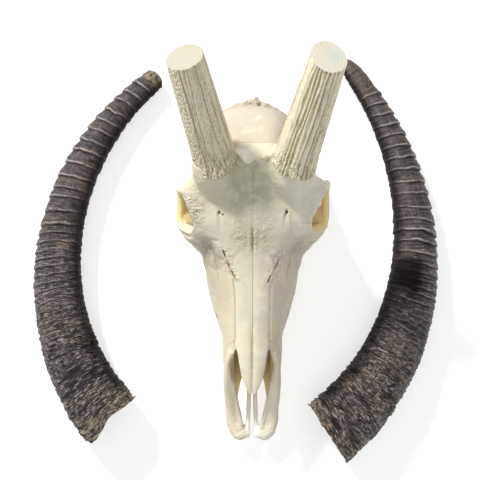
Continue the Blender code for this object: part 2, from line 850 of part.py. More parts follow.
def horn_sheath(sheath):
    """One horn sheath lying on its side: ringed outside, with the socket of its core inside."""
    share, swell = ring_stations(sheath.length)
    centres, _ = centre_line(sheath, share)
    side, top = frames_along(centres, (0, 0, 1))
    rounding = np.where(share > 0.95, np.sqrt(np.clip(1 - ((share - 0.95) / 0.052) ** 2, 0.0, 1.0)), 1.0)
    wide = half_width(sheath, share) * rounding + swell
    high = half_width(sheath, share) * SHEATH_FLATNESS * rounding + swell
    across, along = oval(SHEATH_SIDES)
    rings = [
        c + np.outer(across * w, s) + np.outer(along * h, t)
        for c, s, t, w, h in zip(centres, side, top, wide, high)
    ]
    body = link(loft(sheath.name, rings), bpy.context.scene.collection)
    return combine(body, [socket(sheath)], "DIFFERENCE")


def socket(sheath):
    """The hollow that the horn core filled, from before the base to its blunt end."""
    reach = SOCKET_DEPTH / sheath.length
    centres, share = centre_line(sheath, 10, 0.0, reach)
    centres[0] -= (centres[1] - centres[0]) * 0.2
    side, top = frames_along(centres, (0, 0, 1))
    taper = np.array([1.0, 0.97, 0.93, 0.88, 0.83, 0.77, 0.69, 0.58, 0.4, 0.16])
    inner = half_width(sheath, np.zeros(10)) * taper
    across, along = oval(SHEATH_SIDES)
    rings = [
        c + np.outer(across * (w - SHEATH_WALL), s) + np.outer(along * (w * SHEATH_FLATNESS - SHEATH_WALL), t)
        for c, s, t, w in zip(centres, side, top, inner)
    ]
    return loft("socket", rings)


def part_out(rest, name, region):
    """Takes the bone that lies in a region out of the rest and leaves a thin seam round it."""
    piece = copy_of(rest, name)
    combine(piece, [region(0.0)], "INTERSECT", "MANIFOLD")
    combine(rest, [region(SEAM)], "DIFFERENCE", "MANIFOLD")
    return largest_body(piece)


def skull_nodes():
    """Every bone of the skull as its own object."""
    rest = cranium()
    plate = vomer()
    room = vomer()
    room.data.transform(Matrix.Diagonal((1 + SEAM / 1.6, 1, 1, 1)))
    combine(rest, [room, core_region(1), core_region(-1)], "DIFFERENCE", "MANIFOLD")
    nodes = [link(plate, bpy.context.scene.collection)]
    sides = (("left", 1), ("right", -1))
    for side, mirror in sides:
        nodes.append(part_out(rest, f"nasal_{side}", lambda by, m=mirror: nasal_region(m, by)))
    for side, mirror in sides:
        nodes.append(part_out(rest, f"premaxilla_{side}", lambda by, m=mirror: premaxilla_region(m, by)))
    nodes.append(part_out(rest, "frontal", frontal_region))
    for side, mirror in sides:
        nodes.append(part_out(rest, f"cheek_{side}", lambda by, m=mirror: cheek_region(m, by)))
    for side, mirror in sides:
        maxilla = part_out(rest, f"maxilla_{side}", lambda by, m=mirror: maxilla_region(m, by))
        combine(maxilla, [tooth(*size, mirror) for size in TEETH], "UNION", "MANIFOLD")
        nodes.append(maxilla)
        nodes.append(link(horn_core(f"horn_core_{side}", mirror), bpy.context.scene.collection))
    rest.name = "braincase"
    nodes.append(largest_body(rest))
    return nodes


def settle(node, colour):
    """Trims a node to the table, moves it to the shared frame and gives it its finish."""
    floor = block("floor", (-300, -80, -60), (300, 520, 0))
    combine(node, [floor], "DIFFERENCE", "MANIFOLD")
    in_triangles(node)
    node.data.transform(Matrix.Translation(Vector((-CENTRE[0], -CENTRE[1], 0)) * MM))
    node.data.name = node.name
    node.data.materials.clear()
    node.data.materials.append(finish_named(f"{node.name}_finish", colour, 0.7))
    for face in node.data.polygons:
        face.use_smooth = True
    node.data.set_sharp_from_angle(angle=math.radians(40))


def main():
    """Builds the skull and the two sheaths and files them in one collection."""
    clear_scene()
    home = collection_named("roan_antelope_skull")
    nodes = skull_nodes() + [horn_sheath(sheath) for sheath in SHEATHS]
    for node in nodes:
        colour = HORN if "sheath" in node.name else CORE_BONE if "core" in node.name else BONE
        settle(node, colour)
        for holder in list(node.users_collection):
            holder.objects.unlink(node)
        home.objects.link(node)


main()
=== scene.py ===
"""Looks of a roan antelope skull with sawn horn cores, and of the two horn sheaths that lie beside it.

Forms are worked out in millimetres in the skull's own frame: x across, y from the tip of the snout backwards
and z up from the floor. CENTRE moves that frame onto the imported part's, and MM turns it into metres.
"""

import logging
import math
from collections.abc import Callable, Sequence
from dataclasses import dataclass
from enum import Enum
from functools import cached_property, partial

import bmesh
import bpy
import numpy as np
from bpy.types import ID, Material, Node, NodeInputs, NodeSocket, NodeTree, Object
from mathutils import Matrix, Vector
from mathutils.bvhtree import BVHTree


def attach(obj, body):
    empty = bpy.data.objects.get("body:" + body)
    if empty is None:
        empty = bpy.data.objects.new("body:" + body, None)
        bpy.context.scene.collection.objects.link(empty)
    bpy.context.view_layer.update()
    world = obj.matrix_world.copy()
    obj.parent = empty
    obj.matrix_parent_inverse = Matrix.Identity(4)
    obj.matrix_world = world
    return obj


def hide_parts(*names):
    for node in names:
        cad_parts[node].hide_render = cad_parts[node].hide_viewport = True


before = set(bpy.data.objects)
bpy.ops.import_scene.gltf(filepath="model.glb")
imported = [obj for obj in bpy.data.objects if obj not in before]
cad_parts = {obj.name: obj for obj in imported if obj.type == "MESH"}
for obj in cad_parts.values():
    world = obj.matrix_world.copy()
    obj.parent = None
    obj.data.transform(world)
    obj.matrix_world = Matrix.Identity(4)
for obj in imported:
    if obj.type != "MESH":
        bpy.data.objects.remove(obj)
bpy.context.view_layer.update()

LOG = logging.getLogger("skull")
MM = 0.001
CENTRE = np.array([-19.1, 223.8, 0.0])
BODY = "root"
CELL_FACTORS = (73856093, 19349663, 83492791)
SEED_FACTOR = 26544357
SCRAMBLE_FACTOR = 1274126177
Colour = tuple[float, float, float]
Row = tuple[float, ...]
Array = np.ndarray


class Side(Enum):
    """The animal's left or right half, as the sign of x there."""

    LEFT = 1
    RIGHT = -1

    @property
    def label(self) -> str:
        """The word that piece names end with."""
        return self.name.lower()


class Operation(Enum):
    """What a Boolean modifier does with its cutter."""

    CUT = "DIFFERENCE"
    KEEP = "INTERSECT"


@dataclass
class Form:
    """A closed mesh in millimetres that isn't an object yet."""

    points: Array
    faces: list[tuple[int, ...]]

    def on(self, side: Side) -> "Form":
        """The form itself on the left, and its mirror image on the right."""
        return Form(self.points * (side.value, 1, 1), self.faces)


def lattice(cell: Array, seed: int) -> Array:
    """Gives every cell of a grid its own repeatable value.

    Args:
        cell: Whole numbers, one row of three per place.
        seed: Picks the pattern.

    Returns:
        One value from 0 to 1 per row.
    """
    x, y, z = (cell[..., i] * factor for i, factor in enumerate(CELL_FACTORS))
    mixed = x ^ y ^ z ^ seed * SEED_FACTOR
    mixed = (mixed ^ mixed >> 13) * SCRAMBLE_FACTOR
    return ((mixed ^ mixed >> 16) & 0xFFFFFF) / 0xFFFFFF


def noise(places: Array, size: float, seed: int = 0) -> Array:
    """Smooth noise in space.

    Args:
        places: Points, one row of three each.
        size: The distance over which the noise changes.
        seed: Picks the pattern.

    Returns:
        One value from -1 to 1 per point.
    """
    grid = places / size
    cell = np.floor(grid).astype(np.int64)
    part = grid - cell
    fade = part * part * (3 - 2 * part)
    total = np.zeros(len(places))
    for corner in np.ndindex(2, 2, 2):
        near = np.where(np.array(corner) == 1, fade, 1 - fade).prod(axis=1)
        total += near * lattice(cell + np.array(corner), seed)
    return total * 2 - 1


def fractal(places: Array, size: float, octaves: int = 3, seed: int = 0) -> Array:
    """Noise with finer noise on it, each octave half as large and half as strong.

    Args:
        places: Points, one row of three each.
        size: The size of the coarsest noise.
        octaves: How many sizes of noise are added.
        seed: Picks the pattern.

    Returns:
        One value per point, mostly from -1 to 1.
    """
    return sum(noise(places, size / 2**i, seed + i) / 2**i for i in range(octaves))


def ridged(places: Array, size: float, seed: int = 0) -> Array:
    """Noise that runs in narrow crests: 1 on a crest and down to -1 between crests."""
    return 1 - 2 * np.abs(noise(places, size, seed))


def nodules(places: Array, size: float, seed: int = 0) -> Array:
    """Rounded nodules that lie close together.

    Args:
        places: Points, one row of three each.
        size: The usual distance between nodules.
        seed: Picks the pattern.

    Returns:
        The height at each point, 1 on top of a nodule and 0 between nodules.
    """
    grid = places / size
    cell = np.floor(grid).astype(np.int64)
    nearest = np.full(len(places), 9.0)
    for neighbour in np.ndindex(3, 3, 3):
        near = cell + np.array(neighbour) - 1
        jitter = np.column_stack([lattice(near, seed + k) for k in range(3)])
        nearest = np.minimum(nearest, ((near + jitter - grid) ** 2).sum(axis=1))
    return np.clip(1 - nearest / 0.5, 0, 1)


def bump(value: Array, centre: float, width: float) -> Array:
    """A bell that is 1 at its centre and falls away over its width."""
    return np.exp(-(((value - centre) / width) ** 2))


def step(value: Array, low: float, high: float) -> Array:
    """A smooth step from 0 at low to 1 at high."""
    t = np.clip((value - low) / (high - low), 0, 1)
    return t * t * (3 - 2 * t)


def area(points: Array, **limits: Row) -> Array:
    """Marks a soft-edged area of the skull.

    Args:
        points: The vertices, in millimetres.
        limits: For x, y, z or wide, which is the distance from the midline: where the mark is 0 and where it
            is 1, and, if it ends again, the last place where it is 1 and where it is back at 0.

    Returns:
        The mark at each vertex, from 0 to 1.
    """
    x, y, z = points.T
    values = {"x": x, "y": y, "z": z, "wide": np.abs(x)}
    made = np.ones(len(points))
    for name, (zero, full, *ends) in limits.items():
        made = made * step(values[name], zero, full)
        if ends:
            made = made * step(values[name], ends[1], ends[0])
    return made


def through(rows: Sequence[Row], count: int, closed: bool = False) -> Array:
    """Finds rows of numbers on a smooth curve through the given rows.

    Args:
        rows: The rows that the curve passes through.
        count: How many rows to return.
        closed: Whether the curve returns to its first row.

    Returns:
        The rows on the curve.
    """
    rows = np.asarray(rows, float)
    if closed:
        padded = np.vstack([rows[-1], rows, rows[0], rows[1]])
        spans = len(rows)
    else:
        padded = np.vstack([2 * rows[0] - rows[1], rows, 2 * rows[-1] - rows[-2]])
        spans = len(rows) - 1
    place = np.linspace(0, spans, count, endpoint=not closed)
    first = np.minimum(place.astype(int), spans - 1)
    t = (place - first)[:, None]
    a, b, c, d = (padded[first + i] for i in range(4))
    return 0.5 * (2 * b + (c - a) * t + (2 * a - 5 * b + 4 * c - d) * t**2 + (3 * b - a - 3 * c + d) * t**3)


def loft(rings: Sequence[Array], closed: bool = False) -> Form:
    """Makes a closed body through rings of equally many points.

    Args:
        rings: The rings, in order.
        closed: Whether the last ring joins the first, in place of caps at both ends.

    Returns:
        The body.
    """
    count = len(rings)
    sides = len(rings[0])
    faces = []
    for i in range(count if closed else count - 1):
        here = i * sides
        after = (i + 1) % count * sides
        for j in range(sides):
            k = (j + 1) % sides
            faces.append((here + j, here + k, after + k, after + j))
    if not closed:
        faces.append(tuple(range(sides)))
        faces.append(tuple(range((count - 1) * sides, count * sides)))
    return Form(np.vstack(rings), faces)


def once_round(count: int) -> Array:
    """Angles that go once round a section in equal steps."""
    return np.linspace(0, 2 * math.pi, count, endpoint=False)


def oval(sides: int, power: float = 2.0) -> tuple[Array, Array]:
    """Unit offsets round a section, a circle at power 2 and squarer above it."""
    angle = once_round(sides)
    across, up = np.cos(angle), np.sin(angle)
    swell = 2.0 / power
    return np.sign(across) * np.abs(across) ** swell, np.sign(up) * np.abs(up) ** swell


def frames_along(centres: Array, up: Row, closed: bool = False) -> tuple[Array, Array]:
    """Finds how a section stands at each point of a path.

    Args:
        centres: The path's points.
        up: The direction that the sections' own upward direction stays close to.
        closed: Whether the path is a loop.

    Returns:
        The sideways and the upward unit vectors at each point.
    """
    if closed:
        ahead = np.roll(centres, -1, axis=0) - np.roll(centres, 1, axis=0)
    else:
        ahead = np.gradient(centres, axis=0)
    ahead /= np.linalg.norm(ahead, axis=1)[:, None]
    side = np.cross(ahead, np.asarray(up, float))
    side /= np.linalg.norm(side, axis=1)[:, None]
    return side, np.cross(side, ahead)


def bar(
    rows: Sequence[Row],
    up: Row = (0, 0, 1),
    sides: int = 20,
    steps: int = 30,
    power: float = 2.0,
    closed: bool = False,
) -> Form:
    """Sweeps an oval along a smooth path.

    Args:
        rows: x, y, z and the half widths across and along up, one row per point of the path.
        up: The direction that the sections' own upward direction stays close to.
        sides: Points round a section.
        steps: Sections along the path.
        power: How square a section is, 2 for an oval.
        closed: Whether the path is a loop.

    Returns:
        The swept body.
    """
    path = through(rows, steps, closed)
    centres = path[:, :3]
    side, top = frames_along(centres, up, closed)
    across, along = oval(sides, power)
    rings = [
        c + np.outer(across * w, s) + np.outer(along * h, t)
        for c, s, t, w, h in zip(centres, side, top, path[:, 3], path[:, 4])
    ]
    return loft(rings, closed)


def blob(centre: Row, radii: Row, turn: float = 0.0, sides: int = 24, layers: int = 15) -> Form:
    """Makes an ellipsoid.

    Args:
        centre: Its middle.
        radii: Its three half widths.
        turn: Its turn about x, in degrees.
        sides: Points round a section.
        layers: Sections from one pole to the other.

    Returns:
        The ellipsoid.
    """
    across, along = oval(sides)
    rings = []
    for height in np.sin(np.linspace(-1, 1, layers) * math.pi / 2):
        wide = max(math.sqrt(1 - height * height), 0.02)
        rings.append(np.column_stack([across * wide, along * wide, np.full(sides, height)]))
    form = loft(rings)
    spin = np.array(Matrix.Rotation(math.radians(turn), 3, "X"))
    form.points = form.points * radii @ spin.T + centre
    return form


def trunk(stations: Sequence[Row], sides: int = 64, steps: int = 60) -> Form:
    """Makes a symmetric body along y.

    Args:
        stations: y, then half width and height of the roof, cheek, jaw and floor, then how far the middle of
            the roof and of the floor stand above those edges.
        sides: Points round a section.
        steps: Sections along the body.

    Returns:
        The body.
    """
    rings = []
    for y, *corners, crown, vault in through(stations, steps):
        right = list(zip(corners[::2], corners[1::2]))
        roof_z, floor_z = right[0][1], right[-1][1]
        left = [(-x, z) for x, z in reversed(right)]
        ring = through([(0.0, roof_z + crown), *right, (0.0, floor_z + vault), *left], sides, closed=True)
        rings.append(np.column_stack([ring[:, 0], np.full(sides, y), ring[:, 1]]))
    return loft(rings)


def linked(name: str, data: ID) -> Object:
    """Makes an object of a mesh, a light or a camera and links it to the scene."""
    made = bpy.data.objects.new(name, data)
    bpy.context.scene.collection.objects.link(made)
    return made


def new_object(name: str, forms: Sequence[Form]) -> Object:
    """Makes one object of several forms, with all faces turned outwards.

    Args:
        name: The object's name.
        forms: What it is made of.

    Returns:
        The object, linked to the scene.
    """
    points, faces = [], []
    for form in forms:
        first = sum(len(p) for p in points)
        points.append(form.points)
        faces += [tuple(first + i for i in face) for face in form.faces]
    mesh = bpy.data.meshes.new(name)
    mesh.from_pydata((np.vstack(points) * MM).tolist(), [], faces)
    shape = bmesh.new()
    shape.from_mesh(mesh)
    bmesh.ops.recalc_face_normals(shape, faces=shape.faces)
    shape.to_mesh(mesh)
    shape.free()
    return linked(name, mesh)


def applied(target: Object) -> Object:
    """Replaces an object's mesh by what its modifiers make of it."""
    bpy.context.view_layer.update()
    graph = bpy.context.evaluated_depsgraph_get()
    made = bpy.data.meshes.new_from_object(target.evaluated_get(graph))
    target.modifiers.clear()
    target.data = made
    return target


def fused(name: str, parts: Sequence[Object], voxel: float, passes: int) -> Object:
    """Grows objects into one rounded body, remeshed on a grid and smoothed.

    Args:
        name: The new object's name.
        parts: The objects, which are removed.
        voxel: The grid's size in millimetres.
        passes: How many times the body is smoothed.

    Returns:
        The new object.
    """
    shape = bmesh.new()
    for part in parts:
        shape.from_mesh(part.data)
        bpy.data.objects.remove(part, do_unlink=True)
    mesh = bpy.data.meshes.new(name)
    shape.to_mesh(mesh)
    shape.free()
    whole = linked(name, mesh)
    remesh = whole.modifiers.new("fuse", "REMESH")
    remesh.mode = "VOXEL"
    remesh.voxel_size = voxel * MM
    smooth = whole.modifiers.new("soften", "SMOOTH")
    smooth.factor = 0.5
    smooth.iterations = passes
    return applied(whole)


def combined(target: Object, cutter: Object, operation: Operation) -> Object:
    """Cuts an object with another, or keeps only what both share, and removes the other."""
    modifier = target.modifiers.new("combine", "BOOLEAN")
    modifier.operation = operation.value
    modifier.solver = "MANIFOLD"
    modifier.object = cutter
    applied(target)
    bpy.data.objects.remove(cutter, do_unlink=True)
    return target


def largest_body(target: Object) -> Object:
    """Keeps only the largest closed surface of an object's mesh."""
    mesh = target.data
    ends = np.zeros(len(mesh.edges) * 2, np.int64)
    mesh.edges.foreach_get("vertices", ends)
    ends = ends.reshape(-1, 2)
    label = np.arange(len(mesh.vertices))
    while True:
        lowest = np.minimum(label[ends[:, 0]], label[ends[:, 1]])
        before = label.copy()
        np.minimum.at(label, ends[:, 0], lowest)
        np.minimum.at(label, ends[:, 1], lowest)
        label = label[label]
        if (label == before).all():
            break
    counts = np.bincount(label)
    keep = counts.argmax()
    shape = bmesh.new()
    shape.from_mesh(mesh)
    loose = [vert for vert, mark in zip(shape.verts, label) if mark != keep]
    bmesh.ops.delete(shape, geom=loose, context="VERTS")
    shape.to_mesh(mesh)
    shape.free()
    return target


def vertex_rows(target: Object, field: str) -> Array:
    """Reads a field of three numbers from every vertex of an object."""
    flat = np.zeros(len(target.data.vertices) * 3, np.float32)
    target.data.vertices.foreach_get(field, flat)
    return flat.reshape(-1, 3).astype(float)


def points_of(target: Object) -> Array:
    """The vertices of an object that is still in the skull's frame, in millimetres."""
    return vertex_rows(target, "co") / MM


def normals_of(target: Object) -> Array:
    """The unit normals of an object's vertices."""
    return vertex_rows(target, "normal")


def place_keys(points: Array) -> list[bytes]:
    """A key for each point, the same for points in the same place."""
    return [key.tobytes() for key in np.round(points, 3).astype(np.float32)]


def set_points(target: Object, points: Array) -> None:
    """Moves the vertices of an object that is still in the skull's frame."""
    target.data.vertices.foreach_set("co", (points * MM).astype(np.float32).ravel())
    target.data.update()


def paint(target: Object, name: str, values: Array) -> None:
    """Stores a value or a vector at every vertex for the materials to read."""
    kind = "FLOAT_VECTOR" if values.ndim == 2 else "FLOAT"
    field = "vector" if values.ndim == 2 else "value"
    layer = target.data.attributes.new(name, kind, "POINT")
    layer.data.foreach_set(field, values.astype(np.float32).ravel())


def openness(
    target: Object,
    points: Array,
    normals: Array,
    rays: int = 9,
    spread: float = 0.85,
    lift: float = 0.6,
    reach: float = 70.0,
) -> Array:
    """Measures how open the surface is to the outside.

    Args:
        target: The object that blocks the view.
        points: Where to measure, in millimetres.
        normals: The unit normals there.
        rays: How many directions are tried.
        spread: How far the directions lean from the normal, 1 for a whole half sphere.
        lift: How far off the surface the rays start.
        reach: How far away a surface still blocks the view.

    Returns:
        The share of directions that lead out at each point, 1 on a free surface and near 0 deep inside.
    """
    corners = [vert.co.copy() for vert in target.data.vertices]
    tree = BVHTree.FromPolygons(corners, [tuple(face.vertices) for face in target.data.polygons])
    golden = math.pi * (3 - math.sqrt(5))
    directions = []
    for i in range(rays):
        up = 1 - (i + 0.5) / rays * spread
        wide = math.sqrt(1 - up * up)
        directions.append((wide * math.cos(golden * i), wide * math.sin(golden * i), up))
    free = np.zeros(len(points))
    for k, (point, normal) in enumerate(zip(points * MM, normals)):
        start = Vector(point + normal * lift * MM)
        turned = Vector(normal).to_track_quat("Z", "Y")
        for direction in directions:
            if tree.ray_cast(start, turned @ Vector(direction), reach * MM)[0] is None:
                free[k] += 1
    return free / rays


class Graph:
    """Adds nodes to a node tree and joins their sockets."""

    mix_inputs = (0, 6, 7)
    mix_result = 2

    def __init__(self, tree: NodeTree) -> None:
        """Keeps the tree that the nodes go into."""
        self.tree = tree

    def add(self, kind: str, inputs: dict | None = None, **settings: object) -> Node:
        """Adds a node.

        Args:
            kind: The node's type.
            inputs: A value or another node's output for each named or numbered input.
            settings: The node's own properties.

        Returns:
            The node.
        """
        node = self.tree.nodes.new(kind)
        for name, value in settings.items():
            setattr(node, name, value)
        for socket, value in (inputs or {}).items():
            if isinstance(value, NodeSocket):
                self.join(value, node.inputs[socket])
            else:
                node.inputs[socket].default_value = value
        return node

    def join(self, source: NodeSocket, target: NodeSocket) -> None:
        """Joins an output to an input."""
        self.tree.links.new(source, target)

    def math(self, operation: str, first: object, second: object = 0.0, third: object = 0.0) -> NodeSocket:
        """The output of a Math node, clamped to no range."""
        return self.add("ShaderNodeMath", {0: first, 1: second, 2: third}, operation=operation).outputs[0]

    def times(self, first: object, second: object) -> NodeSocket:
        """The product of two values."""
        return self.math("MULTIPLY", first, second)

    def mask(self, value: object, low: float, high: float) -> NodeSocket:
        """A smooth step of a value from 0 at low to 1 at high."""
        inputs = {"Value": value, "From Min": low, "From Max": high}
        return self.add("ShaderNodeMapRange", inputs, interpolation_type="SMOOTHSTEP").outputs[0]

    def blend(self, factor: object, first: object, second: object) -> NodeSocket:
        """The colour between two others, by a factor from 0 to 1."""
        colours = [c if isinstance(c, NodeSocket) else (*c, 1.0) for c in (first, second)]
        inputs = dict(zip(self.mix_inputs, (factor, *colours)))
        return self.add("ShaderNodeMix", inputs, data_type="RGBA").outputs[self.mix_result]

    def noise(
        self, places: NodeSocket, scale: float, detail: float = 3.0, rough: float = 0.55, warp: float = 0.0
    ) -> NodeSocket:
        """The value of a Noise Texture node."""
        inputs = {"Vector": places, "Scale": scale, "Detail": detail, "Roughness": rough}
        return self.add("ShaderNodeTexNoise", {**inputs, "Distortion": warp}).outputs[0]

    def cells(self, places: NodeSocket, scale: float) -> NodeSocket:
        """The distance to the middle of the nearest cell of a Voronoi Texture node."""
        return self.add("ShaderNodeTexVoronoi", {"Vector": places, "Scale": scale}).outputs["Distance"]

    def stretched(self, places: NodeSocket, scale: Row) -> NodeSocket:
        """Coordinates scaled by another number along each axis."""
        return self.add("ShaderNodeMapping", {"Vector": places, "Scale": scale}).outputs[0]

    def painted(self, name: str, socket: str = "Fac") -> NodeSocket:
        """The value of a vertex attribute, or with the other socket its vector."""
        return self.add("ShaderNodeAttribute", attribute_name=name).outputs[socket]

    def marked(self, name: str, cloud: NodeSocket, low: float, high: float) -> NodeSocket:
        """The value of a vertex attribute, broken up where a cloud of noise is low."""
        return self.times(self.painted(name), self.mask(cloud, low, high))

    def raised(self, height: NodeSocket, strength: float, distance: float) -> NodeSocket:
        """The normal that a Bump node makes of a height."""
        inputs = {"Height": height, "Strength": strength, "Distance": distance}
        return self.add("ShaderNodeBump", inputs).outputs[0]

    def group(self, tree: NodeTree, inputs: dict) -> Node:
        """A node of a shared group."""
        return self.add("ShaderNodeGroup", inputs, node_tree=tree)


def node_group(name: str, inputs: dict[str, str], outputs: dict[str, str]) -> tuple[Graph, dict, dict]:
    """Starts a shader node group.

    Args:
        name: The group's name.
        inputs: The socket type of each named input.
        outputs: The socket type of each named output.

    Returns:
        A graph that adds nodes to the group, and by name the sockets of its inputs and of its outputs.
    """
    tree = bpy.data.node_groups.new(name, "ShaderNodeTree")
    for way, sockets in (("INPUT", inputs), ("OUTPUT", outputs)):
        for label, kind in sockets.items():
            tree.interface.new_socket(label, in_out=way, socket_type=kind)
    return Graph(tree), tree.nodes.new("NodeGroupInput").outputs, tree.nodes.new("NodeGroupOutput").inputs


@dataclass(frozen=True)
class Effects:
    """The node groups that several finishes share."""

    aged: Colour = (0.60, 0.52, 0.36)
    chalky: Colour = (0.72, 0.69, 0.59)
    # painted light: the pale colour laid on bone that lies in shadow
    bleached: Colour = (0.90, 0.87, 0.77)
    # a pink tone: partly the dome's own tone, partly painted shade
    flushed: Colour = (0.50, 0.415, 0.375)
    ochre: Colour = (0.84, 0.67, 0.34)
    rusty: Colour = (0.55, 0.33, 0.18)
    along: Row = (1.0, 1.0, 0.08)

    @cached_property
    def pores(self) -> NodeTree:
        """Open grain of dry bone with wrinkles where it is rough, as a normal and as a mask of its pits."""
        inputs = {"Places": "NodeSocketVector", "Coarse": "NodeSocketFloat", "Rough": "NodeSocketFloat"}
        outputs = {"Normal": "NodeSocketVector", "Pits": "NodeSocketFloat"}
        graph, given, result = node_group("bone_pores", inputs, outputs)
        places = given["Places"]
        fine = graph.noise(places, 1400.0, 4.0, 0.65)
        medium = graph.noise(places, 420.0, 4.0, 0.6)
        folds = graph.math("ABSOLUTE", graph.math("SUBTRACT", graph.noise(places, 300.0, 2.0), 0.5))
        pits = graph.times(graph.mask(graph.cells(places, 560.0), 0.34, 0.12), given["Rough"])
        wrinkles = graph.times(graph.times(folds, 6.0), given["Rough"])
        height = graph.math("MULTIPLY_ADD", medium, given["Coarse"], graph.times(fine, 0.4))
        height = graph.math("ADD", height, wrinkles)
        height = graph.math("SUBTRACT", height, graph.times(pits, 0.9))
        graph.join(graph.raised(height, 0.6, 0.0008), result["Normal"])
        graph.join(pits, result["Pits"])
        return graph.tree

    @cached_property
    def fibres(self) -> NodeTree:
        """Streaks and threads along the grain, and bands and flecks across it."""
        outputs = {label: "NodeSocketFloat" for label in ("Streaks", "Threads", "Bands", "Flecks")}
        graph, given, result = node_group("grain_fibres", {"Places": "NodeSocketVector"}, outputs)
        for label, stretch, *grain in (
            ("Streaks", self.along, 330.0, 5.0, 0.62),
            ("Threads", self.along, 950.0, 3.0, 0.6),
            ("Bands", (0.08, 0.08, 1.0), 500.0, 4.0, 0.62, 0.35),
            ("Flecks", (0.18, 0.18, 1.0), 780.0, 3.0, 0.62, 0.5),
        ):
            graph.join(graph.noise(graph.stretched(given["Places"], stretch), *grain), result[label])
        return graph.tree

    @cached_property
    def stains(self) -> NodeTree:
        """Tints a clean bone colour by its vertex masks: painted shade, painted light, a pink tone that is
        partly painted shade, the hollows, sutures and rust.
        """
        colours = {label: "NodeSocketColor" for label in ("Clean", "Shade", "Hollow", "Line")}
        inputs = {**colours, "Places": "NodeSocketVector"}
        graph, given, result = node_group("bone_stains", inputs, {"Colour": "NodeSocketColor"})
        broad = graph.noise(given["Places"], 20.0, 4.0, 0.6)
        middle = graph.noise(given["Places"], 95.0, 5.0, 0.62)
        ochre = graph.marked("ochre", middle, 0.0, 0.45)
        hollow = graph.mask(graph.painted("open"), 0.55, 0.08)
        middle_line = graph.mask(graph.math("ABSOLUTE", graph.painted("mid")), 0.75, 0.15)
        parted = graph.times(graph.mask(graph.painted("seam"), 0.45, 1.0), graph.painted("line"))
        drawn = graph.times(middle_line, graph.painted("mid_line"))
        colour = given["Clean"]
        for factor, tint in (
            (graph.times(graph.mask(broad, 0.36, 0.70), 0.5), self.aged),
            (graph.times(graph.mask(middle, 0.50, 0.80), 0.7), self.chalky),
            (graph.marked("shade", middle, 0.15, 0.62), given["Shade"]),
            # painted light: lightens bone that lies in shadow
            (graph.marked("bleach", middle, 0.0, 0.40), self.bleached),
            # pink tone, partly the dome's own and partly painted shade
            (graph.marked("flush", middle, 0.30, 0.62), self.flushed),
            (ochre, self.ochre),
            (graph.times(hollow, graph.math("MULTIPLY_ADD", ochre, -0.7, 0.92)), given["Hollow"]),
            (graph.marked("rust", middle, 0.40, 0.62), self.rusty),
            (graph.math("MAXIMUM", parted, drawn), given["Line"]),
        ):
            colour = graph.blend(factor, colour, tint)
        graph.join(colour, result["Colour"])
        return graph.tree


EFFECTS = Effects()


def new_material(name: str) -> tuple[Material, Graph, NodeInputs, NodeSocket]:
    """Starts a material.

    Args:
        name: Its name.

    Returns:
        The material, a graph that adds nodes to it, the inputs of its shader and the object's coordinates.
    """
    made = bpy.data.materials.new(name)
    made.use_nodes = True
    graph = Graph(made.node_tree)
    places = graph.add("ShaderNodeTexCoord").outputs["Object"]
    return made, graph, made.node_tree.nodes["Principled BSDF"].inputs, places


@dataclass(frozen=True)
class BoneFinish:
    """Bleached bone, darker brown where the surface is shut in, with lines along its sutures, painted shade
    where shadows fall and painted light where it lies in shadow.
    """

    clean: Colour = (0.67, 0.625, 0.49)
    shade: Colour = (0.40, 0.40, 0.28)
    hollow: Colour = (0.46, 0.335, 0.18)
    line: Colour = (0.22, 0.145, 0.075)
    pit: Colour = (0.32, 0.255, 0.16)
    grain: float = 0.6
    roughness: float = 0.62
    gloss: float = 0.32

    def material(self, name: str) -> Material:
        """Makes the finish.

        Args:
            name: The material's name.

        Returns:
            The material.
        """
        made, graph, shader, places = new_material(name)
        named = {"Clean": self.clean, "Shade": self.shade, "Hollow": self.hollow, "Line": self.line}
        colours = {label: (*colour, 1.0) for label, colour in named.items()}
        stains = graph.group(EFFECTS.stains, {**colours, "Places": places})
        inputs = {"Coarse": self.grain, "Places": places, "Rough": graph.painted("rough")}
        pores = graph.group(EFFECTS.pores, inputs)
        pitted = graph.blend(graph.times(pores.outputs["Pits"], 0.6), stains.outputs[0], self.pit)
        graph.join(pitted, shader["Base Color"])
        graph.join(pores.outputs["Normal"], shader["Normal"])
        shader["Roughness"].default_value = self.roughness
        shader["Specular IOR Level"].default_value = self.gloss
        return made


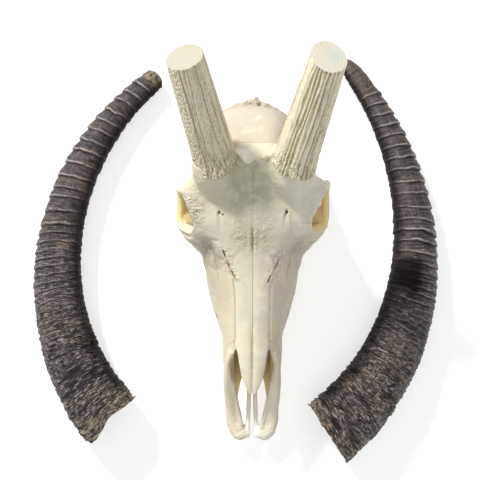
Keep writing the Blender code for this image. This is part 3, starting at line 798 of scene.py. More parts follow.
@dataclass(frozen=True)
class CoreFinish:
    """Fluted horn core: straw brown in its grooves, chalky on its ribs and pale where it was sawn, with
    painted shade on its lower side, by its burr and between the knots of the burr.
    """

    rib: Colour = (0.66, 0.615, 0.47)
    groove: Colour = (0.26, 0.225, 0.11)
    shade: Colour = (0.36, 0.365, 0.24)
    chalk: Colour = (0.74, 0.70, 0.58)
    sawn: Colour = (0.60, 0.56, 0.475)
    saw_ring: Colour = (0.47, 0.43, 0.33)
    saw_cloud: Colour = (0.50, 0.46, 0.365)
    blue_mark: Colour = (0.40, 0.52, 0.475)
    dark_spot: Colour = (0.10, 0.07, 0.05)
    blue: float = 0.0
    roughness: float = 0.7
    gloss: float = 0.25

    def side_colour(
        self, graph: Graph, places: NodeSocket, straight: NodeSocket, streaks: NodeSocket
    ) -> NodeSocket:
        """The colour of the fluted side.

        Args:
            graph: Adds the nodes.
            places: The object's coordinates.
            straight: Coordinates along and across the core.
            streaks: What makes the grooves uneven.

        Returns:
            The colour.
        """
        deep = graph.math("MULTIPLY_ADD", graph.mask(streaks, 0.60, 0.38), 0.22, graph.painted("groove"))
        stretched = graph.stretched(straight, (1.0, 1.0, 0.3))
        speck = graph.mask(graph.noise(stretched, 800.0, 3.0, 0.7), 0.50, 0.66)
        chalk = graph.mask(graph.noise(places, 260.0, 4.0, 0.65), 0.56, 0.72)
        side = self.rib
        for factor, tint in (
            (graph.mask(deep, 0.08, 1.0), self.groove),
            (graph.times(speck, 0.4), self.groove),
            (graph.marked("shade", graph.noise(places, 30.0, 3.0), 0.35, 0.65), self.shade),
            (graph.times(chalk, 0.45), self.chalk),
        ):
            side = graph.blend(factor, side, tint)
        return side

    def face_colour(self, graph: Graph, places: NodeSocket, streaks: NodeSocket) -> NodeSocket:
        """The colour of the sawn face.

        Args:
            graph: Adds the nodes.
            places: The object's coordinates.
            streaks: What makes the rings uneven.

        Returns:
            The colour.
        """
        rings = graph.math("SINE", graph.math("MULTIPLY_ADD", graph.painted("radius"), 46.0, streaks))
        cloud = graph.mask(graph.noise(places, 70.0, 4.0), 0.50, 0.70)
        face = self.sawn
        for factor, tint in (
            (graph.times(graph.mask(rings, 0.2, 1.0), 0.4), self.saw_ring),
            (graph.times(cloud, 0.35), self.saw_cloud),
            (graph.times(graph.painted("blue"), self.blue), self.blue_mark),
            (graph.painted("spot"), self.dark_spot),
        ):
            face = graph.blend(factor, face, tint)
        return face

    def material(self, name: str) -> Material:
        """Makes the finish.

        Args:
            name: The material's name.

        Returns:
            The material.
        """
        made, graph, shader, places = new_material(name)
        straight = graph.painted("straight", "Vector")
        fibres = graph.group(EFFECTS.fibres, {"Places": straight}).outputs
        streaks = fibres["Streaks"]
        side = self.side_colour(graph, places, straight, streaks)
        face = self.face_colour(graph, places, streaks)
        graph.join(graph.blend(graph.painted("cut"), side, face), shader["Base Color"])
        height = graph.math("ADD", streaks, graph.times(fibres["Threads"], 0.5))
        pits = graph.mask(graph.cells(places, 620.0), 0.1, 0.4)
        height = graph.math("ADD", height, graph.times(pits, 0.35))
        graph.join(graph.raised(height, 0.6, 0.0009), shader["Normal"])
        shader["Roughness"].default_value = self.roughness
        shader["Specular IOR Level"].default_value = self.gloss
        return made


@dataclass(frozen=True)
class HornFinish:
    """Weathered horn: dark grey-brown and cracked across near its base, with a painted highlight on the
    crests of its rings, painted shade at their feet, on its inner side and where a shadow falls across it.
    """

    dark: Colour = (0.0078, 0.0063, 0.0068)
    middle: Colour = (0.045, 0.0355, 0.037)
    brown: Colour = (0.100, 0.064, 0.051)
    light: Colour = (0.43, 0.365, 0.335)
    tan: Colour = (0.40, 0.315, 0.22)
    tip: Colour = (0.085, 0.060, 0.046)
    lining: tuple[Colour, Colour] = ((0.06, 0.042, 0.03), (0.20, 0.14, 0.085))
    roughness: tuple[float, float] = (0.30, 0.62)
    gloss: float = 0.46
    dim_gloss: float = 0.02

    def material(self, name: str) -> Material:
        """Makes the finish.

        Args:
            name: The material's name.

        Returns:
            The material.
        """
        made, graph, shader, places = new_material(name)
        fibres = graph.group(EFFECTS.fibres, {"Places": graph.painted("straight", "Vector")}).outputs
        streaks, threads, bands, flecks = (fibres[s] for s in ("Streaks", "Threads", "Bands", "Flecks"))
        mottle = graph.noise(places, 55.0, 5.0, 0.65)
        coarse, dim = graph.painted("coarse"), graph.painted("dim")
        rusty = graph.mask(graph.noise(places, 42.0, 6.0, 0.72), 0.46, 0.62)
        worn = graph.times(graph.mask(flecks, 0.52, 0.62), graph.mask(mottle, 0.30, 0.50))
        hairs = graph.times(graph.mask(streaks, 0.54, 0.62), graph.mask(mottle, 0.35, 0.60))
        colour = self.dark
        for factor, tint in (
            (graph.mask(bands, 0.44, 0.56), self.middle),
            (graph.times(rusty, graph.mask(bands, 0.40, 0.52)), self.brown),
            (graph.times(worn, graph.mask(coarse, 0.25, 1.2)), self.light),
            (graph.times(hairs, 0.2), self.light),
            (graph.marked("fray", flecks, 0.46, 0.60), self.tan),
            # painted highlight on the crests of the rings
            (graph.marked("crest", flecks, 0.25, 0.60), self.light),
            (graph.times(graph.mask(threads, 0.50, 0.36), 0.5), self.dark),
            # cracks, and painted shade at the foot of each ring
            (graph.painted("crack"), self.dark),
            (graph.marked("tip", graph.noise(places, 230.0, 3.0), 0.40, 0.54), self.tip),
            # painted shade
            (dim, self.dark),
            (graph.painted("inside"), graph.blend(bands, *self.lining)),
        ):
            colour = graph.blend(factor, colour, tint)
        graph.join(colour, shader["Base Color"])
        height = graph.math("ADD", bands, graph.times(flecks, 0.8))
        height = graph.times(graph.math("ADD", height, graph.times(threads, 0.45)), coarse)
        graph.join(graph.raised(height, 1.0, 0.0030), shader["Normal"])
        for value, label, low, high in (
            (mottle, "Roughness", *self.roughness),
            # less gloss where shade is painted, so that it stays dark
            (dim, "Specular IOR Level", self.gloss, self.dim_gloss),
        ):
            ranged = graph.add("ShaderNodeMapRange", {"Value": value, "To Min": low, "To Max": high})
            graph.join(ranged.outputs[0], shader[label])
        return made


@dataclass(frozen=True)
class ToothFinish:
    """Enamel, ivory on its sides and brown on its worn crown."""

    enamel: Colour = (0.66, 0.60, 0.45)
    tartar: Colour = (0.50, 0.36, 0.19)
    stain: Colour = (0.25, 0.155, 0.07)
    roughness: float = 0.33

    def material(self, name: str) -> Material:
        """Makes the finish.

        Args:
            name: The material's name.

        Returns:
            The material.
        """
        made, graph, shader, places = new_material(name)
        streaks = graph.group(EFFECTS.fibres, {"Places": places}).outputs["Streaks"]
        tartar = graph.mask(graph.noise(places, 130.0, 5.0, 0.65), 0.46, 0.66)
        colour = graph.blend(graph.times(tartar, 0.55), self.enamel, self.tartar)
        graph.join(graph.blend(graph.painted("wear"), colour, self.stain), shader["Base Color"])
        graph.join(graph.raised(streaks, 0.3, 0.0004), shader["Normal"])
        shader["Roughness"].default_value = self.roughness
        return made


@dataclass(frozen=True)
class FloorFinish:
    """A plain pale floor, lit a little from below so that shadows on it stay light."""

    colour: Colour = (0.52, 0.52, 0.515)
    clouded: float = 0.985
    glow: float = 0.62
    roughness: float = 0.85
    gloss: float = 0.1

    def material(self, name: str) -> Material:
        """Makes the finish under a name."""
        made, graph, shader, places = new_material(name)
        darker = tuple(c * self.clouded for c in self.colour)
        graph.join(graph.blend(graph.noise(places, 3.0, 2.0), self.colour, darker), shader["Base Color"])
        shader["Emission Color"].default_value = (1.0, 1.0, 1.0, 1.0)
        shader["Emission Strength"].default_value = self.glow
        shader["Roughness"].default_value = self.roughness
        shader["Specular IOR Level"].default_value = self.gloss
        return made


def settled(piece: Object, finish: Material, crease: float = 38.0) -> Object:
    """Moves a finished piece from the skull's frame into the part's, shades it and lets it ride.

    Args:
        piece: The object.
        finish: Its material.
        crease: The angle in degrees above which an edge stays sharp.

    Returns:
        The piece.
    """
    piece.data.transform(Matrix.Translation(Vector(-CENTRE) * MM))
    piece.data.name = piece.name
    piece.data.materials.clear()
    piece.data.materials.append(finish)
    piece.data.shade_smooth()
    piece.data.set_sharp_from_angle(angle=math.radians(crease))
    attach(piece, BODY)
    LOG.info("%s: %d faces", piece.name, len(piece.data.polygons))
    return piece


def both_sides(forms: Sequence[Form]) -> list[Form]:
    """The forms of the left half with their mirror images."""
    return [form.on(side) for side in Side for form in forms]


@dataclass(frozen=True)
class Region:
    """The room of one bone inside the fused cranium, grown by any distance, and how dark its sutures are."""

    node: str
    make: Callable[[float], Form]
    line: float


@dataclass
class Cranium:
    """The bones of the skull, grown together as one surface and then parted along their sutures."""

    bulk_voxel: float = 1.6
    voxel: float = 1.15
    bulk_passes: int = 14
    passes: int = 3
    seam: float = 0.22
    zigzag: float = 1.1
    tooth_size: float = 3.4
    tooth_lean: float = 0.35
    rim: float = 4.6
    lobes: tuple[Row, Row] = (
        (0, 1.5, 4, 7, 10, 13, 16, 19, 24),
        (297.5, 296, 294.3, 293.8, 294.6, 297, 300.5, 305, 312),
    )
    arm_edge: tuple[Row, Row] = ((44, 62, 74, 84, 92, 98, 103), (17.5, 23.5, 25.2, 26.6, 24, 22, 20))
    arm_lip: tuple[Row, Row] = ((40, 58, 74, 90, 103), (38, 51.5, 69, 88, 98))
    nasal_gap: tuple[Row, Row] = ((173, 184, 196, 207), (17.5, 24, 29, 33.5))

    def muzzle(self) -> Form:
        """The upper jaw and the bridge of the nose, flaring backwards into the front of the orbits."""
        stations = [
            (72, 13, 84, 28, 66, 31, 52, 25, 34, 1, 3),
            (86, 17, 92, 30, 74, 33, 54, 26, 32, 1, 4),
            (102, 19, 98, 31, 80, 34, 56, 27, 31, 2.5, 5),
            (121, 19.5, 105, 32, 84, 35, 58, 31, 27, 3, 8),
            (143, 20, 113, 35, 88, 42, 60, 38, 22, 3.5, 12),
            (160, 21, 119, 39, 94, 46, 63, 43, 19, 3.5, 14),
            (180, 24, 127, 44, 100, 51, 68, 47, 18, 3.5, 16),
            (200, 29, 135, 51, 108, 54, 74, 49, 18, 4, 18),
            (212, 34, 140, 58, 114, 56, 78, 49, 19, 4, 19),
            (224, 42, 145, 68, 120, 58, 80, 48, 20, 4, 19),
            (234, 48, 149, 76, 122, 58, 82, 46, 23, 4, 18),
            (244, 50, 152, 76, 120, 54, 84, 40, 30, 4, 14),
            (254, 48, 155, 64, 112, 44, 82, 28, 44, 4, 8),
            (266, 40, 155, 44, 106, 30, 80, 20, 58, 3, 2),
            (280, 30, 152, 30, 104, 24, 82, 16, 64, 2, 0),
        ]
        return trunk(stations)

    def forehead(self) -> Form:
        """The frontal bones: a thick roof over the orbits that rises to the ridge between the horns."""
        stations = [
            (200, 26, 136, 40, 128, 38, 120, 30, 116, 3, 2),
            (214, 32, 141, 50, 131, 46, 122, 34, 118, 3.5, 2),
            (228, 38, 147, 60, 139, 57, 129, 44, 122, 4, 3),
            (244, 44, 153, 68, 147, 64, 137, 50, 128, 4.5, 3),
            (258, 48, 158, 75, 151, 70, 141, 54, 130, 3.5, 3),
            (270, 48, 163, 80, 150, 76, 140, 58, 128, 2, 2),
            (280, 46, 168, 80, 147, 74, 134, 54, 122, 1.5, 0),
            (290, 42, 172, 64, 150, 58, 130, 46, 114, 2, 0),
            (300, 34, 172, 50, 146, 45, 126, 38, 106, 2, 0),
            (312, 22, 162, 38, 136, 34, 120, 28, 102, 2, 0),
        ]
        return trunk(stations)

    def vault(self) -> Form:
        """The braincase behind the horns, bent down to the occiput."""
        stations = [
            (262, 20, 146, 26, 120, 22, 92, 14, 70, 2, 0), (284, 26, 162, 32, 124, 28, 90, 18, 62, 3, 0),
            (304, 28, 166, 40, 122, 36, 86, 22, 55, 4, 0), (324, 29, 156, 46, 112, 42, 76, 28, 48, 6, 0),
            (344, 30, 143, 48, 102, 46, 70, 33, 42, 7, 0), (360, 27, 126, 46, 92, 48, 64, 36, 39, 8, 0),
            (372, 23, 111, 41, 84, 46, 60, 37, 37, 7, 0), (381, 18, 97, 34, 76, 40, 56, 31, 36, 6, 0),
            (389, 12, 84, 26, 66, 29, 52, 21, 38, 3, 0),
        ]
        return trunk(stations)

    def thick_side(self) -> list[Form]:
        """The stalk of one horn core, the front of one cheekbone and the root of its arch."""
        stalk = [
            (33, 266, 120, 24, 28), (37, 280, 142, 26, 30), (41, 290, 160, 25, 29.5),
            (43.5, 297, 168, 24, 28), (46, 304, 175, 22, 26),
        ]
        front = [
            (40, 164, 62, 5, 6), (45, 186, 67, 6, 9), (49, 200, 71, 7, 11),
            (51.5, 213, 77, 7.5, 13), (64, 225, 83, 7, 13), (75, 240, 88, 6.5, 11),
        ]
        return [
            bar(stalk, up=(0, -0.7, 0.7), sides=32),
            bar(front),
            bar([(62, 320, 76, 6, 6), (50, 334, 74, 9, 9), (36, 346, 74, 11, 12)]),
            blob((50, 329, 67), (13, 9, 6)),
            blob((39.6, 147, 68), (3.4, 6, 4.6)),
            bar([(46, 350, 78, 7, 8), (48, 362, 66, 7, 9), (43, 374, 52, 6, 9)]),
        ]

    def hollows(self) -> list[Form]:
        """The two eye sockets and the hollow of the nose, open in front."""
        orbit = [
            (115, 249, 123, 30, 27), (84, 252, 122, 27, 24.5), (66, 254, 121, 25, 23),
            (48, 260, 118, 20, 19), (32, 270, 112, 12, 12), (24, 276, 108, 5, 5),
        ]
        nose = [
            (40, 14, 92, 24, 72, 28, 54, 21, 39, 1, 0),
            (70, 14, 93, 25, 74, 28, 54, 21, 40, 1, 0),
            (100, 14, 91, 26, 76, 29, 56, 22, 42, 2, 0),
            (130, 14.5, 104, 28, 82, 31, 60, 24, 44, 2, 0),
            (160, 15, 114, 32, 90, 34, 64, 26, 48, 2, 0),
            (188, 10, 116, 22, 98, 22, 80, 12, 66, 1, 0),
        ]
        return [*both_sides([bar(orbit, sides=48, steps=36)]), trunk(nose)]

    def orbit_side(self) -> list[Form]:
        """The ring of bone round one eye, the floor of its socket and the arch that runs back from it."""
        ring = [
            (83.5, 256, 96), (81.5, 243, 95), (75, 230, 101), (66, 222, 113), (58, 228, 132),
            (57, 240, 143), (63, 256, 149), (76, 270, 149), (82, 279, 139), (83, 282, 122),
            (83, 276, 106),
        ]
        floor = [
            (63.5, 222, 88, 5, 3.5), (70, 231, 91, 9, 3.2), (73.5, 242, 92, 11, 3),
            (74.5, 258, 92, 10.5, 3), (75.5, 274, 90, 8, 3),
        ]
        arch = [
            (53, 220, 80, 5, 8.5), (63, 230, 84, 5, 9), (73.5, 241, 87, 5.5, 9.5),
            (80, 257, 89, 5.5, 8), (78.5, 275, 87, 4.5, 7.5), (71.5, 293, 82, 4, 6.5),
            (62.5, 308, 79, 4.5, 6.5), (54, 322, 76, 6, 7), (46, 334, 74, 10, 8),
        ]
        front = [
            (82, 242, 97, 6, 2.5), (75, 236, 105, 7, 2.6), (67, 231, 115, 7, 2.6),
            (60, 233, 127, 5, 2.5),
        ]
        return [
            bar([(*row, self.rim, self.rim) for row in ring], up=(1, -0.2, 0.1), steps=72, closed=True),
            bar(floor, up=(-0.3, 0, 1), power=3),
            bar(front, up=(0, 0.5, 0.87)),
            bar(arch, steps=48),
        ]

    def occiput_side(self) -> list[Form]:
        """Half of the nuchal crest, one condyle and the long process beside it."""
        crest = [
            (46, 360, 58, 5, 6), (46, 365, 74, 4, 5), (38, 371, 87, 3.5, 5),
            (25, 377, 96, 3.2, 5), (12, 382, 101, 3.2, 5), (-2, 386, 102, 3.5, 5),
        ]
        condyle = [(6, 381, 34, 7, 7), (14, 387, 36, 9, 9), (21, 388, 46, 8, 10), (18, 384, 60, 6, 8)]
        process = [
            (36, 372, 62, 7, 10), (37, 378, 44, 5.5, 11), (37, 380, 26, 4.5, 10),
            (34.5, 376, 9, 4, 7.5), (33, 373, -6, 3.6, 6),
        ]
        return [
            bar(crest, up=(0, -0.7, 0.7), steps=40),
            bar(condyle, up=(0, 1, 0.2)),
            bar(process, up=(0, 1, 0)),
        ]

    def base_side(self) -> list[Form]:
        """Half of what stands under the braincase: its floor, bulla, ear tube and the palate's plate."""
        floor = [
            (0, 262, 70, 9, 7), (0, 300, 58, 10, 7), (0, 338, 47, 13, 8), (0, 366, 41, 16, 8),
            (0, 384, 39, 15, 7),
        ]
        wing = [(20, 232, 40, 3, 12), (20, 256, 42, 2.6, 15), (19, 280, 48, 2.4, 15), (19, 298, 58, 2.4, 10)]
        return [
            bar(floor),
            blob((26, 350, 38), (10, 15, 13), turn=-12),
            blob((9, 362, 37), (7, 9, 6)),
            bar([(30, 350, 52, 8, 8), (42, 354, 60, 7, 7), (54, 359, 68, 6.5, 6.5)]),
            bar(wing, power=2.6),
            blob((18, 290, 38), (2.6, 6, 6)),
        ]

    def snout_side(self) -> list[Form]:
        """One premaxilla: its body in front, the arm that climbs to the nasal and the rod on the palate."""
        arm = [
            (8.5, 3, 24, 5, 5), (15.2, 9, 23.5, 9.5, 6), (21.2, 20, 24, 8.6, 6.5),
            (22.8, 31, 27, 7.8, 7), (24.2, 43, 33, 6.8, 8), (25.4, 58, 43, 7.6, 10),
            (26.5, 74, 55, 6.5, 14), (26, 90, 72, 4.5, 15), (22, 103, 86, 3.4, 10),
        ]
        rod = [
            (4.9, 5, 22, 3, 3.6), (4.5, 24, 24.5, 2.6, 3.6), (3.8, 44, 30, 2.6, 4),
            (3.7, 60, 35, 2.6, 4.4), (4.2, 80, 38, 3, 4.2), (5, 96, 38, 4, 3),
        ]
        edge = [
            (11.5, 14, 28, 2.4, 2.4), (15.4, 34, 34.5, 2.3, 2.8), (21.8, 66, 59, 2.2, 4),
            (22.8, 98, 85, 2, 4),
        ]
        shelf = [
            (25, 42, 34, 7, 4), (24, 57, 38, 8.8, 4.5), (22.3, 70, 39, 9.8, 4.5),
            (20, 81, 38.5, 11, 4.5), (16, 92, 37, 14.5, 5),
        ]
        nasal = [
            (2.2, 50, 85.5, 1.6, 1.6), (4.6, 60, 89, 4.2, 2.4), (7.2, 76, 93.5, 6.9, 3),
            (8.9, 92, 97.5, 8.6, 3.4), (9.8, 108, 101, 9.4, 3.5), (10, 128, 107, 9.4, 3.4),
            (10, 146, 112, 9, 3),
        ]
        return [
            bar(arm, steps=56, power=2.3),
            bar(rod, steps=36),
            bar(edge, steps=44),
            bar(shelf),
            blob((12, 8, 24), (11, 7.5, 5.5)),
            bar(nasal, up=(0.22, 0, 1), steps=44, power=2.4),
        ]

    def details(self) -> list[Form]:
        """The scalloped ridge between the horns and the knob on top of the nuchal crest."""
        ridge = [(26, 296, 167, 4, 5), (14, 300, 172, 4, 6), (-3, 296, 173, 4, 6)]
        knob = [(6, 381, 106, 4, 3), (5, 386, 108, 3.4, 3), (4.5, 389.5, 108.5, 2.2, 2)]
        return [*both_sides([bar(ridge, up=(0, 0.4, 1))]), bar(knob), blob((-1, 384.5, 105.5), (5, 3, 2.2))]

    def passages(self) -> list[Form]:
        """The foramen magnum, the passage behind the palate, the ears, and the openings of the face."""
        magnum = [(0, 412, 44, 13, 13), (0, 390, 48, 13, 13), (0, 372, 54, 11, 10), (0, 358, 60, 6, 6)]
        throat = [(0, 234, 36, 12, 12), (0, 252, 40, 15, 17), (0, 276, 45, 15, 12), (0, 300, 45, 12, 8)]
        ear = [(66, 363, 75, 3.6, 3.6), (50, 357, 65, 3.6, 3.6), (38, 352, 58, 3, 3)]
        cheek = [(50, 128, 58, 4, 5.5), (40, 139, 63, 4, 5.5), (34, 152, 68, 3, 4)]
        notch = [
            (18.5, 72, 84, 6.5, 14), (18.5, 83, 88, 5, 14), (18.3, 92, 93, 2.8, 12),
            (18.2, 101, 96, 0.6, 9),
        ]
        return [bar(magnum), bar(throat, power=2.6), *both_sides([bar(ear), bar(cheek), bar(notch)])]

    def table(self) -> Form:
        """Everything under the table top, on which the processes behind the teeth stand."""
        corners = ((-50, -40), (-50, 0), (450, 0), (450, -40))
        return loft([np.array([(x, y, z) for y, z in corners]) for x in (-150.0, 150.0)])

    def slits(self) -> list[Form]:
        """The gaps beside the nasals and the holes over the eyes, which are too thin for the grid."""
        gap = [
            (17.5, 173, 127, 0.25, 3), (20.4, 178, 128, 0.5, 4), (24, 184, 131, 0.35, 4),
            (26.6, 190, 133, 0.8, 5), (29, 196, 134, 0.5, 5), (31, 201, 136, 0.85, 5),
            (33.5, 207, 138, 0.3, 4),
        ]
        short = [
            (23.6, 185, 131, 0.2, 3), (26.4, 190, 133, 0.75, 4.5), (28.2, 194, 134, 0.6, 4.5),
            (30.2, 199, 136, 0.2, 3),
        ]
        lower = [(16.6, 171, 126, 0.2, 3), (18, 175, 127, 0.65, 4), (19.8, 179, 128, 0.2, 3)]
        brow = [
            (35.6, 239, 155, 0.7, 0.7), (36.2, 243, 155.5, 1.2, 1.5), (37.0, 246, 153, 1.9, 1.5),
            (38.0, 249, 149, 1.4, 1.2),
        ]
        second = [(32.2, 237, 155, 0.7, 0.7), (32.6, 241, 155, 1.1, 1.4), (33, 245, 151, 1.0, 1.2)]
        uneven = ((short, Side.LEFT), (lower, Side.LEFT), (gap, Side.RIGHT), (second, Side.RIGHT))
        return [*both_sides([bar(brow)]), *[bar(rows, steps=60).on(side) for rows, side in uneven]]

    def beside_gap(self, points: Array) -> Array:
        """How far each point lies to the outside of the gap beside the nasals, in millimetres."""
        return np.abs(points[:, 0]) - np.interp(points[:, 1], *self.nasal_gap)

    def grown(self) -> Object:
        """All bones as one smooth surface, with orbits, nose and passages open."""
        bulk = [self.muzzle(), self.forehead(), self.vault(), *both_sides(self.thick_side())]
        body = fused("bulk", [new_object("bulk", bulk)], self.bulk_voxel, self.bulk_passes)
        for form in self.hollows():
            combined(body, new_object("hollow", [form]), Operation.CUT)
        thin = []
        for maker in (self.orbit_side, self.occiput_side, self.base_side, self.snout_side):
            thin += both_sides(maker())
        whole = fused("cranium", [body, new_object("thin", thin + self.details())], self.voxel, 0)
        for form in self.passages():
            combined(whole, new_object("passage", [form]), Operation.CUT)
        whole = largest_body(fused("cranium", [whole], self.voxel, self.passes))
        for form in [*self.slits(), self.table()]:
            combined(whole, new_object("slit", [form]), Operation.CUT)
        return whole

    def roughness(self, points: Array) -> Array:
        """How granular the bone is at each point, from 0 to 1."""
        x, y, z = points.T
        mark = partial(area, points)
        wide = np.abs(x)
        brow = mark(wide=(46, 62), y=(216, 230, 262, 280), z=(132, 142))
        ridge = bump(y, 298, 9) * mark(wide=(34, 24), z=(160, 168))
        knob = mark(y=(368, 380), z=(88, 98), wide=(38, 20))
        temple = 0.8 * bump(wide, 40, 7) * mark(y=(318, 334, 366, 378), z=(84, 110))
        beside = 0.9 * bump(self.beside_gap(points), 0, 7)
        gap = beside * mark(y=(166, 178, 206, 216), z=(112, 124))
        vermicular = 0.7 * bump(y, 224, 19) * mark(wide=(34, 14), z=(132, 140))
        stalk = 0.6 * bump(z, 168, 8) * mark(wide=(12, 22), y=(262, 270))
        snout = 0.5 * step(y, 40, 10)
        return np.clip(sum([brow, ridge, knob, temple, gap, vermicular, stalk, snout]) + 0.08, 0, 1)

    def forehead_relief(self, points: Array) -> Array:
        """How far the forehead stands out: its rough brows, the troughs of its holes and the hollow between.

        Args:
            points: The vertices, in millimetres.

        Returns:
            The height at each vertex, in millimetres.
        """
        x, y, z = points.T
        mark = partial(area, points)
        wide = np.abs(x)
        brow = bump(wide, 62, 7) * mark(y=(222, 230, 250, 262), z=(136, 146))
        height = brow * (0.9 * nodules(points, 2.6, 24) - 1.1 * np.clip(ridged(points, 3.0, 23), 0, 1))
        sunk = bump(y, 207 + 0.2 * (wide - 40), 7)
        height -= 2.8 * sunk * mark(wide=(38, 47), z=(88, 98, 134, 142))
        ahead = np.clip((246 - y) / 22, 0, 1)
        centre = 36.4 - 1.6 * ahead + 0.7 * noise(points, 6, 47)
        trough = mark(y=(222, 232, 243, 248), z=(142, 147)) * (1.1 - ahead)
        height -= 1.5 * trough * bump(wide, centre, 1.5 + 1.3 * ahead)
        inner = bump(wide, centre - 2.4 - 3 * ahead, 1.3) * (x > 0)
        rims = inner + bump(wide, centre + 2.4 + 3.4 * ahead, 1.4)
        height += trough * rims * (0.7 + 0.6 * noise(points, 4, 48))
        height -= 2.0 * bump(x, 0, 12) * bump(y, 276, 18) * step(z, 150, 158)
        crease = bump(y, 215 + 0.28 * (wide - 40), 1.8) * mark(wide=(34, 42, 61, 68))
        height -= crease * (1.3 + 0.6 * noise(points, 3, 45))
        pitted = bump(np.hypot(wide - 36.3, y - 243), 0, 4) * step(z, 142, 146)
        return height + 0.9 * pitted * noise(points, 1.9, 46)

    def suture_relief(self, points: Array) -> Array:
        """How far the bone stands out along its sutures and beside the nasals.

        Args:
            points: The vertices, in millimetres.

        Returns:
            The height at each vertex, in millimetres.
        """
        x, y, _ = points.T
        mark = partial(area, points)
        wide = np.abs(x)
        notch = mark(y=(198, 208, 222, 230), z=(130, 136))
        height = notch * (0.8 * (bump(x, 3.4, 2.0) + bump(x, -3.4, 2.0)) - 2.0 * bump(x, 0, 1.2))
        middle = bump(x, 0.5 * noise(points, 5, 31), 1.2) * mark(y=(226, 232, 292, 300), z=(146, 150))
        height -= middle * (0.6 + 0.3 * noise(points, 4, 32))
        height -= 0.35 * bump(x, 0, 1.0) * mark(y=(50, 58, 196, 204), z=(80, 84))
        seam_x = 18.9 + 2.0 * step(y, 150, 185)
        height -= 0.6 * bump(wide, seam_x, 1.1) * mark(y=(104, 110, 170, 178), z=(90, 95))
        height += 0.7 * bump(wide, seam_x + 3.0, 2.0) * mark(y=(96, 110, 170, 186), z=(88, 94))
        gap = self.beside_gap(points)
        rims = (bump(gap, 2.4, 1.2) + bump(gap, -2.4, 1.2)) * (0.5 + 0.7 * noise(points, 3.5, 43))
        return height + rims * mark(y=(170, 178, 204, 212), z=(116, 124))

    def relief(self, points: Array) -> Array:
        """How far the surface stands out of its smooth form.

        Args:
            points: The vertices, in millimetres.

        Returns:
            The height at each vertex, in millimetres.
        """
        x, y, _ = points.T
        grain = 0.75 * fractal(points, 5, 3, 11) - 0.35 * ridged(points, 4.2, 5)
        scallop = bump(y, 299, 6) * area(points, wide=(28, 20), z=(162, 168))
        ridge = scallop * (0.9 * np.sin(x * 0.55 + 1.2) + 0.8 * noise(points, 4, 41))
        crest = 0.9 * fractal(points, 6, 3, 51) * area(points, y=(366, 378), z=(84, 96))
        height = 0.5 * fractal(points, 26, 3, 3) + self.roughness(points) * grain
        return height + self.forehead_relief(points) + self.suture_relief(points) + ridge + crest

    def sculpted(self, whole: Object) -> Object:
        """The same surface with its relief, and with the right brow's lower rear corner drawn forwards."""
        points = points_of(whole)
        points += normals_of(whole) * self.relief(points)[:, None]
        corner = area(points, x=(-64, -84), y=(244, 262))
        brow = corner * area(points, z=(100, 122))
        forwards = (3.0 + 5.0 * area(points, y=(266, 283))) * brow
        points[:, 0] += 2.4 * corner
        points[:, 1] -= forwards
        set_points(whole, points)
        return whole

    def lean(self, place: Row, i: int, seed: int) -> float:
        """How far one tooth of a jagged edge leans out, as a share of the edge's depth."""
        return noise(np.array([place]), self.tooth_size, seed)[0] + self.tooth_lean * (1 if i % 2 else -1)

    def jagged(self, outline: Sequence[Row], depth: float, seed: int, pitch: float = 1.7) -> list[Row]:
        """Breaks the sides of an outline into short teeth, as in a suture.

        Args:
            outline: The corners.
            depth: How far a tooth stands out.
            seed: Picks the pattern.
            pitch: The length of a tooth.

        Returns:
            The corners of the broken outline.
        """
        made = []
        corners = [np.array(corner, float) for corner in outline]
        for here, after in zip(corners, corners[1:] + corners[:1]):
            run = after - here
            count = max(int(np.hypot(*run) / pitch), 1)
            across = np.array([run[1], -run[0]]) / np.hypot(*run)
            for i in range(count):
                place = here + run * i / count
                tooth = self.lean((place[0], place[1], 9.0), i, seed)
                made.append(tuple(place + across * depth * tooth * (i > 0)))
        return made

    def side_prism(self, outline: Sequence[Row], low: float, high: float, by: float) -> Form:
        """A polygon in y and z, drawn out across the skull and grown by a distance.

        Args:
            outline: The polygon's corners.
            low: Where it starts in x.
            high: Where it ends in x.
            by: How far every face moves outwards.

        Returns:
            The prism.
        """
        corners = [np.asarray(c, float) for c in outline]
        area = sum(a[0] * b[1] - b[0] * a[1] for a, b in zip(corners, corners[1:] + corners[:1]))
        turn = 1 if area > 0 else -1
        moved = []
        for i, here in enumerate(corners):
            run = corners[(i + 1) % len(corners)] - corners[i - 1]
            moved.append(here + np.array([run[1], -run[0]]) / np.hypot(*run) * turn * by)
        return loft([np.array([(x, y, z) for y, z in moved]) for x in (low - by, high + by)])

    def channel(self, stations: list[Row], by: float, depth: float, seed: int, pitch: float = 1.9) -> Form:
        """A box-shaped body along y with jagged sides, grown by a distance.

        Args:
            stations: y, the two sides in x, and the bottom and top in z.
            by: How far every face moves outwards.
            depth: How jagged its outer side and its floor are.
            seed: Picks the pattern.
            pitch: The length of a tooth.

        Returns:
            The body.
        """
        rows = np.array(stations, float)
        places = np.linspace(rows[0, 0], rows[-1, 0], int((rows[-1, 0] - rows[0, 0]) / pitch))
        rings = []
        for i, y in enumerate(places):
            low_x, high_x, low_z, high_z = (np.interp(y, rows[:, 0], rows[:, k]) for k in range(1, 5))
            swing = depth * self.lean((y, 3.0, 1.0), i, seed)
            place = y - by if i == 0 else y + by if i == len(places) - 1 else y
            left, right, bottom, top = low_x - by, high_x + by + swing, low_z - by + swing, high_z + by
            corners = ((left, bottom), (right, bottom), (right, top), (left, top))
            rings.append(np.array([(x, place, z) for x, z in corners]))
        return loft(rings)

